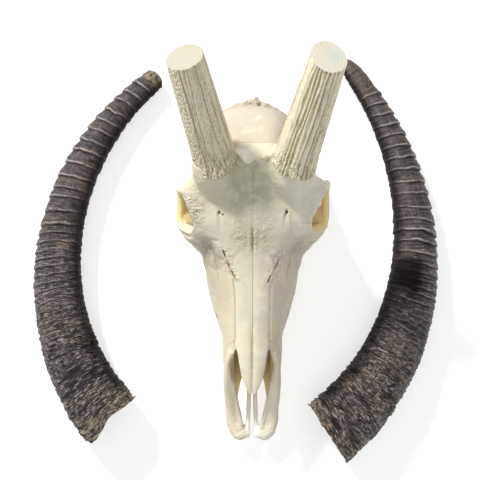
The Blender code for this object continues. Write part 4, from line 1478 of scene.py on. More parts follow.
    def nasal_room(self, side: Side, by: float) -> Form:
        """Where one nasal bone lies: a long slab along the midline, blunt behind."""
        edge = [
            (40, 12, 79), (70, 16, 87), (100, 19.2, 92.5), (130, 19.2, 103.5),
            (160, 19.8, 113.5), (188, 23, 122), (196, 21.5, 125), (203, 16, 127),
            (207, 9, 129), (211, 1, 130),
        ]
        stations = [(y, self.seam / 2, x, z, 200) for y, x, z in edge]
        return self.channel(stations, by, 0.9, 61).on(side)

    def premaxilla_room(self, side: Side, by: float) -> Form:
        """Where one premaxilla lies, in front of a seam that climbs backwards."""
        outline = [(-20, -20), (-20, 110), (112, 110), (105, 88), (94, 72), (84, 58), (78, 46), (76, -20)]
        return self.side_prism(self.jagged(outline, 0.5, 62), self.seam / 2 + by, 90, by).on(side)

    def frontal_room(self, by: float) -> Form:
        """Where the frontal bones lie, from the nasals to behind the horns and half way down the orbits."""
        outline = [
            (199, 230), (199, 131), (212, 127), (228, 124), (250, 113), (292, 108), (306, 113),
            (318, 142), (322, 230),
        ]
        return self.side_prism(self.jagged(outline, self.zigzag, 63), -120, 120, by)

    def cheek_room(self, side: Side, by: float) -> Form:
        """Where one lacrimal and cheekbone lie, outside the walls of the jaw and the braincase."""
        stations = [
            (165, 40, 120, 62, 84), (180, 38, 120, 57, 114), (200, 42, 120, 59, 150),
            (222, 52, 120, 64, 150), (250, 56, 120, 64, 150), (299, 58, 120, 60, 150),
        ]
        return self.channel(stations, by, self.zigzag * 0.7, 64).on(side)

    def maxilla_room(self, side: Side, by: float) -> Form:
        """Where one maxilla lies, with its half of the palate."""
        outline = [(50, -20), (50, 150), (226, 150), (232, 100), (238, 62), (246, 44), (250, -20)]
        jagged = self.jagged(outline, self.zigzag * 0.8, 65)
        return self.side_prism(jagged, self.seam / 2 + by, 100, by).on(side)

    def regions(self) -> list[Region]:
        """The rooms in the order in which the bones are taken out."""
        first = (("nasal", self.nasal_room, 0.12), ("premaxilla", self.premaxilla_room, 0.4))
        last = (("cheek", self.cheek_room, 0.25), ("maxilla", self.maxilla_room, 0.25))
        before, after = (
            [Region(f"{stem}_{s.label}", partial(room, s), line) for stem, room, line in group for s in Side]
            for group in (first, last)
        )
        return [*before, Region("frontal", self.frontal_room, 0.08), *after]

    def parted(self, rest: Object) -> list[tuple[Object, float]]:
        """Parts the fused surface into bones.

        Args:
            rest: The fused surface, which becomes the braincase.

        Returns:
            Each bone with how dark its sutures are.
        """
        bones = []
        for region in self.regions():
            bone = linked(f"{region.node}_bone", rest.data.copy())
            combined(bone, new_object("room", [region.make(0.0)]), Operation.KEEP)
            combined(rest, new_object("room", [region.make(self.seam)]), Operation.CUT)
            bones.append((largest_body(bone), region.line))
        rest.name = "braincase_bone"
        return [*bones, (largest_body(rest), 0.08)]

    def line_masks(self, points: Array, line: float) -> dict[str, Array]:
        """Masks of the lines along the sutures and down the middle of the forehead.

        Args:
            points: The vertices, in millimetres.
            line: How dark the bone's sutures are.

        Returns:
            The masks by name.
        """
        x = points[:, 0]
        mark = partial(area, points)
        beside = bump(np.abs(x), 19, 4) * mark(y=(98, 104, 172, 180), z=(88, 92))
        across = mark(wide=(3, 1), z=(80, 84), y=(210, 204))
        notch = 0.8 * mark(y=(198, 206, 222, 229))
        dotted = 0.7 * step(noise(points, 5, 33), -0.1, 0.5) * mark(y=(224, 232, 292, 302))
        return {
            "line": np.clip(line + 0.45 * beside + 0.8 * across, 0, 1),
            "mid": x + 0.7 * noise(points, 6, 31),
            "mid_line": np.clip(notch + dotted, 0, 1) * mark(z=(132, 138)),
        }

    def tone_masks(self, points: Array, turned: Array) -> dict[str, Array]:
        """Masks of painted shade, of painted light and of a pink tone that is partly painted shade.

        Args:
            points: The vertices, in millimetres.
            turned: How far each vertex faces the midline, from -1 to 1.

        Returns:
            The masks by name.
        """
        x, y, _ = points.T
        mark = partial(area, points)
        wide = np.abs(x)
        lobed = np.interp(np.abs(x - 2), *self.lobes)
        # behind the scalloped ridge between the horns; on the right, where the right core's shadow falls, it
        # gets painted light
        behind = step(y, lobed - 0.8, lobed + 0.8) * mark(z=(150, 156), wide=(30, 26))
        # painted shade: the shadow that the right horn core casts over the forehead, and the shade under the
        # cores
        between = mark(wide=(36, 16), y=(236, 256, 310, 318), z=(148, 156)) * (1 - behind)
        under_core = bump(wide, 42, 20) * bump(y, 258, 17) * mark(z=(144, 152)) * (0.5 - 0.3 * (x > 0))
        # painted shade in the hollow below each orbit
        lacrimal = bump(wide, 46, 15) * mark(z=(84, 96, 130, 140), y=(228, 219))
        lacrimal *= step(y + 0.3 * (52 - wide) + 3 * noise(points, 4, 77), 191, 194)
        lacrimal *= 0.45 + 0.55 * step(y, 199, 207)
        weight = 0.45 + 0.65 * (x < 0)
        # painted shade low on the forehead and on the inner faces of the premaxilla arms
        low = bump(y, 216, 16) * mark(wide=(34, 10), z=(130, 136))
        deep = step(turned, 0.2, 0.6) * mark(y=(70, 90, 110, 120), wide=(31, 28))
        # painted light on the palate's rods, on the left brow in the left core's shadow and on the front of
        # the left premaxilla
        rods = mark(wide=(9, 7), y=(94, 84), z=(50, 44))
        cheek = mark(x=(40, 52), y=(216, 228), z=(130, 138))
        facing = 0.35 * cheek + 0.3 * mark(x=(2, 10), y=(74, 50))
        # painted shade laid as a pink tone on the inner faces of the premaxilla arms, the left nasal's side
        # and the left temple wall; the rest of vault is the dome's own pinkish tone
        inward = step(turned, 0.15, 0.6) * mark(y=(84, 60), wide=(10, 13))
        pink = mark(x=(1, 10), z=(84, 92), y=(214, 200))
        vault = bump(wide, 24, 9) * bump(y, 350, 22) + 0.2 + 1.2 * mark(x=(21, 30), y=(322, 334))
        masks = {
            # painted shade
            "shade": 0.95 * between + under_core + weight * lacrimal + 0.7 * low + 0.4 * deep,
            # painted light over bone that lies in shadow
            "bleach": behind * mark(x=(8, -8), y=(316, 306)) + 0.8 * rods + facing,
            # pink: the dome's own tone, and painted shade below the orbits, on the arms, the left nasal and
            # the left temple
            "flush": 0.3 * lacrimal + 0.6 * inward + 0.5 * vault * step(y, 306, 318) + 0.4 * pink,
        }
        return {name: np.clip(values, 0, 1) for name, values in masks.items()}

    def depth_masks(self, points: Array, turned: Array, opened: Array) -> dict[str, Array]:
        """Masks of how open each place is, of the ochre in eye sockets and nose, and of rusty spots.

        Args:
            points: The vertices, in millimetres.
            turned: How far each vertex faces the midline, from -1 to 1.
            opened: How open the surface is, from 0 to 1.

        Returns:
            The masks by name.
        """
        x, y, _ = points.T
        mark = partial(area, points)
        right = x > 0
        lip = np.interp(y, *self.arm_lip)
        inside = step(opened, 0.95, 0.8) * mark(y=(44, 56, 196, 206), z=(lip, lip - 6), wide=(31, 28))
        edge = np.interp(y, *self.arm_edge) - 2.5 * right
        flank = mark(wide=(12, 15, edge - 0.9, edge + 0.9), y=(56, 72, 103, 108), z=(96, 92))
        front = 240 - 13 * right
        socket = mark(y=(front, front + 7, 286, 296), z=(76, 84, 136, 143), wide=(50, 60))
        socket *= 1 - step(-turned, 0.7, 0.95) * mark(z=(118, 100))
        spots = bump(x, -26, 5) * bump(y, 340, 6) + bump(x, -19, 4) * bump(y, 320, 5)
        spots += 0.6 * bump(y, 322, 3) * mark(wide=(30, 20))
        shut = 0.75 * mark(y=(74, 66), z=(50, 44))
        return {
            "ochre": np.clip(socket + inside, 0, 1),
            "rust": np.clip(0.5 * spots * mark(z=(120, 130)), 0, 1),
            "open": np.maximum(opened, shut) * (1 - 0.85 * flank),
        }

    def stained(self, bone: Object, old: set[bytes], line: float, whole: Object) -> None:
        """Stores the masks that the bone finish reads.

        Args:
            bone: The bone.
            old: The places of the vertices that were there before the bones were parted.
            line: How dark its sutures are.
            whole: The surface that shuts the hollows off from the outside.
        """
        points, normals = points_of(bone), normals_of(bone)
        turned = -normals[:, 0] * np.sign(points[:, 0])
        masks = {
            "seam": np.array([key not in old for key in place_keys(points)], float),
            "rough": self.roughness(points),
            **self.line_masks(points, line),
            **self.tone_masks(points, turned),
            **self.depth_masks(points, turned, openness(whole, points, normals)),
        }
        for name, values in masks.items():
            paint(bone, name, values)

    def build(self) -> list[Object]:
        """Builds and dresses every bone of the cranium.

        Returns:
            The bones.
        """
        whole = self.sculpted(self.grown())
        LOG.info("fused cranium: %d faces", len(whole.data.polygons))
        old = set(place_keys(points_of(whole)))
        shell = bpy.data.objects.new("shell", whole.data.copy())
        finishes = {
            "nasal": BoneFinish(clean=(0.75, 0.705, 0.555), grain=0.35),
            "maxilla": BoneFinish(clean=(0.72, 0.645, 0.48), shade=(0.22, 0.19, 0.145), grain=0.45),
            "premaxilla": BoneFinish(clean=(0.73, 0.655, 0.50), grain=0.5),
            "braincase": BoneFinish(clean=(0.52, 0.478, 0.387), grain=0.6),
            "frontal": BoneFinish(clean=(0.65, 0.615, 0.485), grain=0.8),
            "cheek": BoneFinish(clean=(0.68, 0.62, 0.475), shade=(0.22, 0.19, 0.145), grain=0.6),
        }
        materials = {stem: finish.material(f"{stem}_bone") for stem, finish in finishes.items()}
        bones = []
        for bone, line in self.parted(whole):
            self.stained(bone, old, line, shell)
            node = bone.name.removesuffix("_bone")
            settled(bone, materials[node.split("_")[0]])
            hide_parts(node)
            bones.append(bone)
        bpy.data.objects.remove(shell)
        return bones


@dataclass
class HornCore:
    """One sawn horn core with its grooves, its nodular burr and its sawn face.

    A dark spot on that face is given in half widths of the face, and one beyond 1 lies off it.
    """

    side: Side
    base: Row
    top: Row
    base_halves: tuple[float, float]
    top_halves: tuple[float, float]
    cut_drop: float
    finish: CoreFinish
    columns: int = 330
    rows: int = 230
    cap_rows: int = 34
    grooves: int = 34
    groove_depth: float = 1.3
    grain: float = 0.3
    shaded: float = 1.0
    burr_reach: float = 36.0
    burr_height: float = 1.7
    tuck: float = 2.5
    spot: tuple[float, float] = (9.0, 9.0)

    def wall(self, length: float) -> tuple[Array, Array, dict[str, Array]]:
        """The ribbed side of the core, unrolled.

        Args:
            length: The distance from the burr to the middle of the sawn face.

        Returns:
            The distance from the burr and the height over the smooth cone at each point, and the masks.
        """
        seed = 100 + self.side.value
        angle = once_round(self.columns)
        distances = np.linspace(-self.tuck, length, self.rows)
        along, theta = (grid.ravel() for grid in np.meshgrid(distances, angle, indexing="ij"))
        share = np.clip(along / length, 0, 1)
        mean = sum(b + (e - b) * share for b, e in zip(self.base_halves, self.top_halves)) / 2
        cos, sin = np.cos(theta), np.sin(theta)
        places = np.column_stack([cos * mean, sin * mean, along])
        drawn = places * (1, 1, 1 / 13)
        phase = theta / (2 * math.pi) * self.grooves + 0.9 * noise(drawn, 13, seed)
        phase += 0.4 * noise(places * (1, 1, 0.22), 5, seed + 1)
        number = np.floor(phase).astype(np.int64) % self.grooves
        own = lattice(np.column_stack([number, number * 0, number * 0]), seed)
        ribbed = 0.3 + 0.7 * step(cos, 0.72, 0.25)
        strong = np.clip(0.15 + own**1.4 + 0.5 * noise(drawn, 10, seed + 2), 0, 1) * ribbed
        valley = bump(phase % 1, 0.5, 0.2 + 0.12 * own) * strong
        fine = step(ridged(drawn, 3.0, seed + 5), 0.45, 0.95) * step(noise(drawn, 9, seed + 6), -0.35, 0.25)
        hairs = ridged(places * (1, 1, 1 / 7), 1.9, seed + 4)
        near = step(along, self.burr_reach, 3)
        knots = 0.75 * nodules(places * (1, 1, 0.5), 3.0, seed + 20)
        knots += 0.5 * nodules(places * (1, 1, 0.8), 1.9, seed + 40)
        grain = nodules(places * (1, 1, 0.7), 1.9, seed + 50) * (1.35 - ribbed)
        height = self.grain * grain - self.groove_depth * valley - 0.3 * fine - 0.16 * hairs
        height += near * self.burr_height * (knots - 0.42) + 0.8 * step(along, 16, 2)
        height -= 5.5 * step(along, 1.2, -self.tuck)
        ring = places * (1, 1, 0)
        ragged = (2.0 * noise(ring, 6, seed + 60) + 1.3 * noise(ring, 2.6, seed + 61)) * step(along, 14, 0)
        lower = step(sin, 0.1, -0.9)
        # darker in the grooves, with painted shade between the knots of the burr
        groove = 0.85 * valley * (0.4 + 0.6 * own) + 0.35 * fine + near * step(knots, 0.42, 0.05)
        groove += 1.1 * self.grain * step(grain, 0.3, 0.0) * (1.35 - ribbed)
        masks = {
            "straight": places * MM,
            "groove": np.clip(groove, 0, 1),
            "shade": np.clip(lower * 0.5 + 0.3 * near + 0.2, 0, 1) * self.shaded,
        }
        return along + ragged, height, masks

    def build(self) -> Object:
        """Builds and dresses the core.

        Returns:
            The core.
        """
        base = np.array(self.base)
        run = np.array(self.top) - base
        length = float(np.linalg.norm(run))
        axis = run / length
        across, up = frames_along(np.array([base, base + axis]), (0.0, -0.7, 0.7))
        cos, sin = oval(self.columns)
        distances, height, masks = self.wall(length)
        rings = []
        for i, here in enumerate(np.linspace(-self.tuck, length, self.rows)):
            share = np.clip(here / length, 0, 1)
            wide, high = (b + (e - b) * share for b, e in zip(self.base_halves, self.top_halves))
            row = slice(i * self.columns, (i + 1) * self.columns)
            lowered = self.cut_drop * share**6 * (1 + sin) / 2
            ring = base + np.outer(distances[row] - lowered, axis)
            ring += np.outer((wide + height[row]) * cos, across[0])
            ring += np.outer((high + height[row]) * sin, up[0])
            rings.append(ring)
        wall = len(rings) * self.columns
        radius, blue, spot, straight = [], [], [], []
        for inset in np.linspace(1, 0, self.cap_rows)[1:]:
            wide, high = (half * inset for half in self.top_halves)
            sunk = 0.5 * float(step(np.array(inset), 0.94, 1.0)) + 0.06 * math.sin(inset * 34)
            drop = self.cut_drop * (1 + inset * sin) / 2 + sunk
            ring = base + axis * length - np.outer(drop, axis)
            ring += np.outer(wide * cos, across[0]) + np.outer(high * sin, up[0])
            rings.append(ring)
            straight.append(np.column_stack([cos * wide, sin * high, drop]) * MM)
            radius.append(np.full(self.columns, inset))
            blue.append(bump(inset * cos, 0.35, 0.4) * bump(inset * sin, -0.1, 0.5))
            spot.append(bump(inset * cos, self.spot[0], 0.05) * bump(inset * sin, self.spot[1], 0.04))
        core = new_object(f"horn_core_{self.side.label}_bone", [loft(rings).on(self.side)])
        face = len(rings) * self.columns - wall
        paint(core, "straight", np.vstack([masks["straight"], *straight]))
        for name in ("groove", "shade"):
            paint(core, name, np.concatenate([masks[name], np.zeros(face)]))
        for name, values in (("cut", [np.ones(face)]), ("radius", radius), ("blue", blue), ("spot", spot)):
            paint(core, name, np.concatenate([np.zeros(wall), *values]))
        settled(core, self.finish.material(core.name), crease=50)
        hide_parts(f"horn_core_{self.side.label}")
        return core


@dataclass
class ToothRow:
    """The six cheek teeth of one side, each waisted between its lobes and worn flat below."""

    side: Side
    root_z: float = 27.0
    sides: int = 72
    teeth: tuple[Row, ...] = (
        (130, 29.5, 13.5, 11.0, 1), (144, 33.5, 15.5, 14.0, 1), (159, 37.0, 15.5, 16.0, 1),
        (176, 40.5, 19.5, 18.5, 2), (196, 43.0, 21.5, 20.0, 2), (217, 43.5, 22.5, 19.0, 2),
    )

    def outline(self, length: float, width: float, lobes: float) -> tuple[Array, Array]:
        """Offsets round one tooth: two lobes on a molar, and a rib at each corner of its outer wall."""
        across, along = oval(self.sides, 3.0)
        waist = 1 - (lobes - 1) * 0.2 * np.exp(-((along / 0.2) ** 2))
        ribs = sum(np.exp(-(((along - place) / 0.1) ** 2)) for place in (-0.86, 0.0, 0.86))
        outer = np.where(across > 0, 1.0 * ribs, 0.0)
        return across * waist * width / 2 + outer, along * length / 2

    def build(self) -> Object:
        """Builds and dresses the row.

        Returns:
            The row of teeth.
        """
        forms, wear = [], []
        layers = [
            (self.root_z, 0.90, 0.0),
            (16.0, 0.97, 0.0), (8.0, 1.0, 0.0), (1.0, 0.99, 0.1), (0.1, 0.93, 0.35), (0.05, 0.84, 0.5),
            (1.0, 0.76, 1.0), (1.2, 0.40, 0.8), (0.2, 0.30, 0.5), (0.2, 0.20, 0.5), (1.6, 0.10, 1.0),
        ]
        for y, x, length, width, lobes in self.teeth:
            across, along = self.outline(length, width, lobes)
            rings = [
                np.column_stack([x + across * share, y + along * share, np.full(self.sides, z)])
                for z, share, _ in layers
            ]
            forms.append(loft(rings).on(self.side))
            wear.append(np.concatenate([np.full(self.sides, stain) for _, _, stain in layers]))
        row = new_object(f"cheek_teeth_{self.side.label}", forms)
        paint(row, "wear", np.concatenate(wear))
        settled(row, ToothFinish().material(row.name), crease=45)
        return row


@dataclass
class NasalBones:
    """What stands inside the nose: the upright plate and a scroll of thin bone in each half."""

    thickness: float = 0.9
    turns: float = 1.35
    offset: float = 14.0
    finish: BoneFinish = BoneFinish(clean=(0.62, 0.49, 0.30), hollow=(0.50, 0.36, 0.19))

    def plate(self) -> Form:
        """The upright plate that parts the two halves of the nose."""
        rows = [(0, 90, 46, 1.5, 4), (0, 104, 58, 1.6, 15), (0, 130, 68, 1.7, 22), (0, 170, 80, 1.8, 24)]
        return bar(rows, power=3.5, sides=32, steps=40)

    def scroll(self) -> Form:
        """One scroll, rolled up about a line that climbs backwards through the nose."""
        turn = np.linspace(0, self.turns * 2 * math.pi, 60)
        rings = []
        for y, z, radius in through([(99, 66, 4.5), (116, 70, 8), (140, 78, 9), (172, 92, 8)], 26):
            inner = radius * (0.3 + 0.7 * turn / turn[-1])
            outer = inner + self.thickness
            roll = np.concatenate([outer, inner[::-1]])
            angle = np.concatenate([turn, turn[::-1]]) - 1.2
            x = self.offset + roll * np.cos(angle)
            rings.append(np.column_stack([x, np.full(len(x), y), z + 1.25 * roll * np.sin(angle)]))
        return loft(rings)

    def build(self) -> list[Object]:
        """Builds and dresses the plate and the scrolls.

        Returns:
            The plate and the scrolls.
        """
        finish = self.finish.material("inner_bone")
        plate = new_object("vomer_bone", [self.plate()])
        pieces = [plate] + [new_object(f"nasal_scroll_{s.label}", [self.scroll().on(s)]) for s in Side]
        for piece in pieces:
            points = points_of(piece)
            for name in ("seam", "shade", "rust"):
                paint(piece, name, np.zeros(len(points)))
            paint(piece, "rough", 0.3 + 0.2 * noise(points, 8, 71))
            paint(piece, "open", np.full(len(points), 0.3))
            settled(piece, finish)
        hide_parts("vomer")
        return pieces


@dataclass
class HornSheath:
    """One horn sheath that lies on its side: ringed, frayed at its base and hollow where the core was."""

    side: Side
    base: tuple[float, float]
    heading: float
    turn: tuple[float, float]
    length: float
    half_width: Row
    rise: tuple[float, float]
    smooth_tip: float
    tip_round: float
    tip_swell: float = 0.0
    flatness: float = 0.83
    wall: float = 4.6
    rim: float = 2.2
    slant: float = 8.0
    lead: float = 5.0
    skew: float = 0.0
    lobe: float = 0.0
    wave: float = 0.0
    # how dark the painted shadow of a horn core across the sheath is
    dusk: float = 0.0
    finish: HornFinish = HornFinish()
    columns: int = 150
    rows: int = 660
    socket_rows: int = 44
    socket_depth: float = 165.0
    socket_taper: Row = (1.0, 0.97, 0.93, 0.88, 0.83, 0.77, 0.69, 0.58, 0.4, 0.03)
    ring_first: float = 62.0
    ring_spacing: tuple[float, float] = (7.2, 15.2)
    ring_height: float = 2.1
    ring_full: float = 190.0

    def centres(self, share: Array) -> Array:
        """Points on the sheath's middle line, in the skull's frame.

        Args:
            share: Places along the line, as shares of its length.

        Returns:
            The points, in millimetres.
        """
        fine = np.linspace(0, 1, 400)
        heading = np.radians(self.heading + self.turn[0] * fine + self.turn[1] * fine**2)
        heading += math.radians(self.wave) * np.cos(2 * math.pi * fine)
        each = self.length / (len(fine) - 1)
        x = self.base[0] + np.concatenate([[0], np.cumsum(np.cos(heading[:-1]) * each)])
        y = self.base[1] + np.concatenate([[0], np.cumsum(np.sin(heading[:-1]) * each)])
        z = self.rise[0] + self.rise[1] * share
        return np.column_stack([np.interp(share, fine, x), np.interp(share, fine, y), z])

    def width_at(self, share: Array) -> Array:
        """The half width at shares of the length, rings apart."""
        return sum(c * share**i for i, c in enumerate(self.half_width))

    def ring_places(self) -> Array:
        """How far from the base each ring stands, in millimetres."""
        places = [self.ring_first]
        while places[-1] < self.length - 20 - self.smooth_tip:
            wider = float(step(np.array(places[-1] / self.length), 0.28, 0.62))
            gap = self.ring_spacing[0] + (self.ring_spacing[1] - self.ring_spacing[0]) * wider
            jitter = 0.82 + 0.36 * lattice(np.array([len(places), self.side.value, 5]), 3)
            places.append(places[-1] + gap * float(jitter))
        return np.array(places)

    def ring_profile(self, along: Array, places: Array) -> tuple[Array, ...]:
        """The saw-tooth section of the rings: steep on the side of the base and sloping to the tip.

        Args:
            along: Distances from the base, in millimetres.
            places: The rings' own distances.

        Returns:
            The height from -1 to 1, and how close each place is to a ring's crest and to its foot.
        """
        index = np.clip(np.searchsorted(places, along, side="right") - 1, 0, len(places) - 2)
        gap = places[index + 1] - places[index]
        phase = np.clip((along - places[index]) / gap, 0, 1)
        rise = step(phase, 0.0, 0.16)
        fall = 1 - 1.5 * phase + 0.25 * np.sin(phase * math.pi)
        height = -0.75 + rise * (0.75 + fall)
        crest = bump(phase * gap, 0.17 * gap, 1.0)
        foot = bump(np.minimum(phase, 1.06 - phase) * gap, 0, 1.1)
        return height, crest, foot

    def skin(self) -> tuple[list[Array], dict[str, Array]]:
        """The outer surface, from the frayed base to the tip.

        Returns:
            Its rings of points, and the masks of all its vertices by name.
        """
        spaced = np.linspace(0, 1, self.rows)
        share = spaced + 0.012 * np.sin(spaced * math.pi) ** 2
        share[-1] = 1.0
        middle = self.centres(share)
        across, up = frames_along(middle, (0, 0, 1))
        ahead = np.cross(up, across)
        left = np.clip((1.0 - share) * self.length / self.tip_round, 0.0, 1.0)
        end = np.sqrt(np.clip(1 - (1 - left) ** 2, 0.0006, 1.0))
        swell = self.tip_swell * bump(share * self.length, self.length - 10, 24)
        width = (self.width_at(share) + swell) * end
        along = np.repeat(share * self.length, self.columns)
        cos, sin = (np.tile(part, self.rows) for part in oval(self.columns))
        mean = np.repeat(width, self.columns)
        seed = 200 + self.side.value
        straight = np.column_stack([cos * mean, sin * mean, along])
        bent = 2.4 * noise(straight, 30, seed) + 1.3 * noise(straight, 9, seed + 1)
        outwards = cos * np.sign(self.turn[0])
        outer = 0.5 + 0.5 * outwards
        profile, crest, foot = self.ring_profile(along + bent + 3.0 * outwards, self.ring_places())
        ends = step(along, self.length - self.smooth_tip, self.length - self.smooth_tip - 22)
        grown = step(along, self.ring_first - 20, self.ring_full) * ends
        dense = 0.6 + 0.4 * step(along / self.length, 0.3, 0.6)
        strength = grown * dense * (0.42 + 0.58 * outer) * (0.85 + 0.45 * noise(straight, 24, seed + 2))
        young = step(along, 200, 70)
        wavy = straight * (0.14, 0.14, 1.0) + bent[:, None] * (0, 0, 0.4)
        lines = fractal(wavy, 3.0, 3, seed + 3)
        cracks = np.clip(ridged(wavy, 6.0, seed + 5) - 0.8, 0, 1) * 7
        cracks += np.clip(ridged(wavy, 3.2, seed + 19) - 0.82, 0, 1) * 5
        cracks *= (0.25 + 0.75 * young) * step(noise(straight, 14, seed + 6), -0.3, 0.1)
        splits = np.clip(ridged(straight * (1, 1, 0.1), 9.0, seed + 15) - 0.88, 0, 1) * 8 * young
        splits *= step(noise(straight, 22, seed + 16), 0.1, 0.45)
        bumpy = fractal(straight, 20, 3, seed + 4) * (0.4 + 0.5 * outer * young)
        bumpy += 0.35 * young * nodules(straight, 6, seed + 7)
        edge = step(along, 11, 0)
        border = bump(along + bent, 15, 1.3) * step(noise(straight * (1, 1, 0.1), 18, seed + 13), -0.35, 0.1)
        dashes = step(ridged(wavy, 2.4, seed + 17), 0.72, 0.97) * (0.3 + 0.7 * young)
        dashes *= step(noise(straight, 7, seed + 18), -0.15, 0.35)
        height = self.ring_height * strength * (profile - 0.3) + (0.45 + 0.6 * young) * lines
        height += bumpy + 0.5 * dashes - 1.2 * (np.clip(cracks + splits, 0, 1) + border)
        height -= edge * (0.7 + 0.9 * noise(straight, 4, seed + 8))
        height *= np.repeat(np.clip(end * 1.15, 0, 1), self.columns)
        blunt = self.smooth_tip < 30
        worn = step(along, self.length - 22, self.length - 13)
        height -= worn * (1.1 * nodules(straight, 4.5, seed + 9)) * blunt
        ring = np.column_stack([cos * 9, sin * 9, cos * 0])
        fray = 1.1 * (noise(ring, 1.4, seed + 14) + noise(ring, 3.2, seed + 10))
        fray += 1.3 * noise(ring, 9.0, seed + 11) - 0.6
        lean = self.slant * (1 - sin) / 2 + self.skew * cos - self.lead
        lean -= 2 * self.lobe * np.clip(sin, 0, 1) * np.clip(outwards, 0, 1)
        shift = fray * step(along, 30, 0) + lean * step(along, 90, 0)
        points = np.repeat(middle, self.columns, axis=0)
        wide = cos * (mean + height)
        tall = sin * (mean * self.flatness + height)
        for way, far in ((across, wide), (up, tall), (ahead, shift)):
            points += np.repeat(way, self.columns, axis=0) * far[:, None]
        points[:, 2] = np.maximum(points[:, 2], 0.15)
        # cracks and splits, and painted shade at the foot of each ring
        dark = np.clip(cracks + splits + border, 0, 1) + (foot * 1.5 + np.clip(-profile, 0, 0.4)) * strength
        # painted shade on the inner, lower side near the base
        inner = step(outwards, 0.2, -0.65) * step(sin, 0.99, 0.5)
        # painted shadow of a horn core across the sheath
        dusk = self.dusk * step(along + bent, 239, 232) * step(along + 2 * bent, 186, 204)
        dusk *= step(outwards, 0.65, 0.0)
        patches = step(noise(straight * (0.3, 0.3, 1), 9, seed + 12), 0.2, 0.6)
        masks = {
            "straight": straight * MM,
            # painted highlight on each ring's crest, with pale flecks
            "crest": np.clip(crest * strength * 1.6 + 0.6 * dashes, 0, 1),
            "coarse": 0.35 + 0.45 * step(along, 330, 190) + 0.4 * step(along, 190, 60),
            # painted shade: inner side near the base, and the painted shadow of a horn core
            "dim": np.maximum(0.85 * inner * step(along, 0, 30), dusk),
            "crack": np.clip(dark, 0, 1),
            "fray": np.clip(step(along, 24, 4) + 0.7 * young * patches, 0, 1),
            "tip": worn if blunt else 0.8 * step(along, self.length - 90, self.length - 40),
            "inside": np.zeros(len(points)),
        }
        return list(points.reshape(self.rows, self.columns, 3)), masks

    def socket(self, mouth: Array) -> tuple[list[Array], Array]:
        """The inner surface, from the mouth to the blunt end of the hollow.

        Args:
            mouth: The first ring of the outer surface.

        Returns:
            Its rings from the mouth inwards, and the straightened coordinates of all its vertices.
        """
        share = np.linspace(0, self.socket_depth / self.length, self.socket_rows)
        middle = self.centres(share)
        across, up = frames_along(middle, (0, 0, 1))
        cos, sin = oval(self.columns)
        taper = through([(narrow,) for narrow in self.socket_taper], self.socket_rows)
        ahead = np.cross(up, across)
        lean = (mouth - middle[0]) @ ahead[0]
        rings, straight = [], []
        for i, narrow in enumerate(taper[:, 0]):
            wide = self.width_at(np.zeros(1))[0] * narrow
            along = np.full(self.columns, share[i] * self.length)
            places = np.column_stack([cos * wide, sin * wide, along])
            rough = 0.5 * ridged(places * (1, 1, 0.15), 5, 301) + 0.4 * noise(places, 6, 302)
            wall = self.rim + (self.wall - self.rim) * min(i / 9, 1.0)
            inner = max(wide - wall, 0.3)
            flat = max(wide * self.flatness - wall, 0.3)
            rough = rough * min(1.0, inner / 8)
            ring = middle[i] + np.outer(cos * (inner + rough), across[i])
            ring += np.outer(sin * (flat + rough), up[i])
            ring += np.outer(lean * max(0.0, 1 - i / 20), ahead[i])
            rings.append(ring)
            straight.append(places)
        return rings, np.vstack(straight) * MM

    def build(self) -> Object:
        """Builds and dresses the sheath.

        Returns:
            The sheath.
        """
        outside, masks = self.skin()
        inside, inner_straight = self.socket(outside[0])
        rings = inside[::-1] + outside
        count = len(inside) * self.columns
        flipped = inner_straight.reshape(len(inside), self.columns, 3)[::-1].reshape(-1, 3)
        sheath = new_object(f"horn_sheath_{self.side.label}_horn", [loft(rings)])
        for name, values in masks.items():
            if name == "straight":
                paint(sheath, name, np.vstack([flipped, values]))
            else:
                fill = np.ones(count) if name == "inside" else np.zeros(count)
                paint(sheath, name, np.concatenate([fill, values]))
        settled(sheath, self.finish.material(sheath.name), crease=60)
        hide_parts(f"horn_sheath_{self.side.label}")
        return sheath


def aimed(made: Object, place: Vector, back: Vector) -> None:
    """Puts a light or the camera in its place, with its back turned in a direction."""
    made.location = place
    made.rotation_mode = "QUATERNION"
    made.rotation_quaternion = (-back).to_track_quat("-Z", "Y")


@dataclass(frozen=True)
class AreaLight:
    """A square light that looks at the origin, its distance and side in metres and its power in watts."""

    name: str
    towards: Row
    distance: float
    side: float
    power: float
    colour: Colour

    def build(self) -> None:
        """Adds the light."""
        light = bpy.data.lights.new(self.name, "AREA")
        light.shape = "SQUARE"
        light.size = self.side
        light.energy = self.power
        light.color = self.colour
        direction = Vector(self.towards).normalized()
        aimed(linked(self.name, light), direction * self.distance, direction)


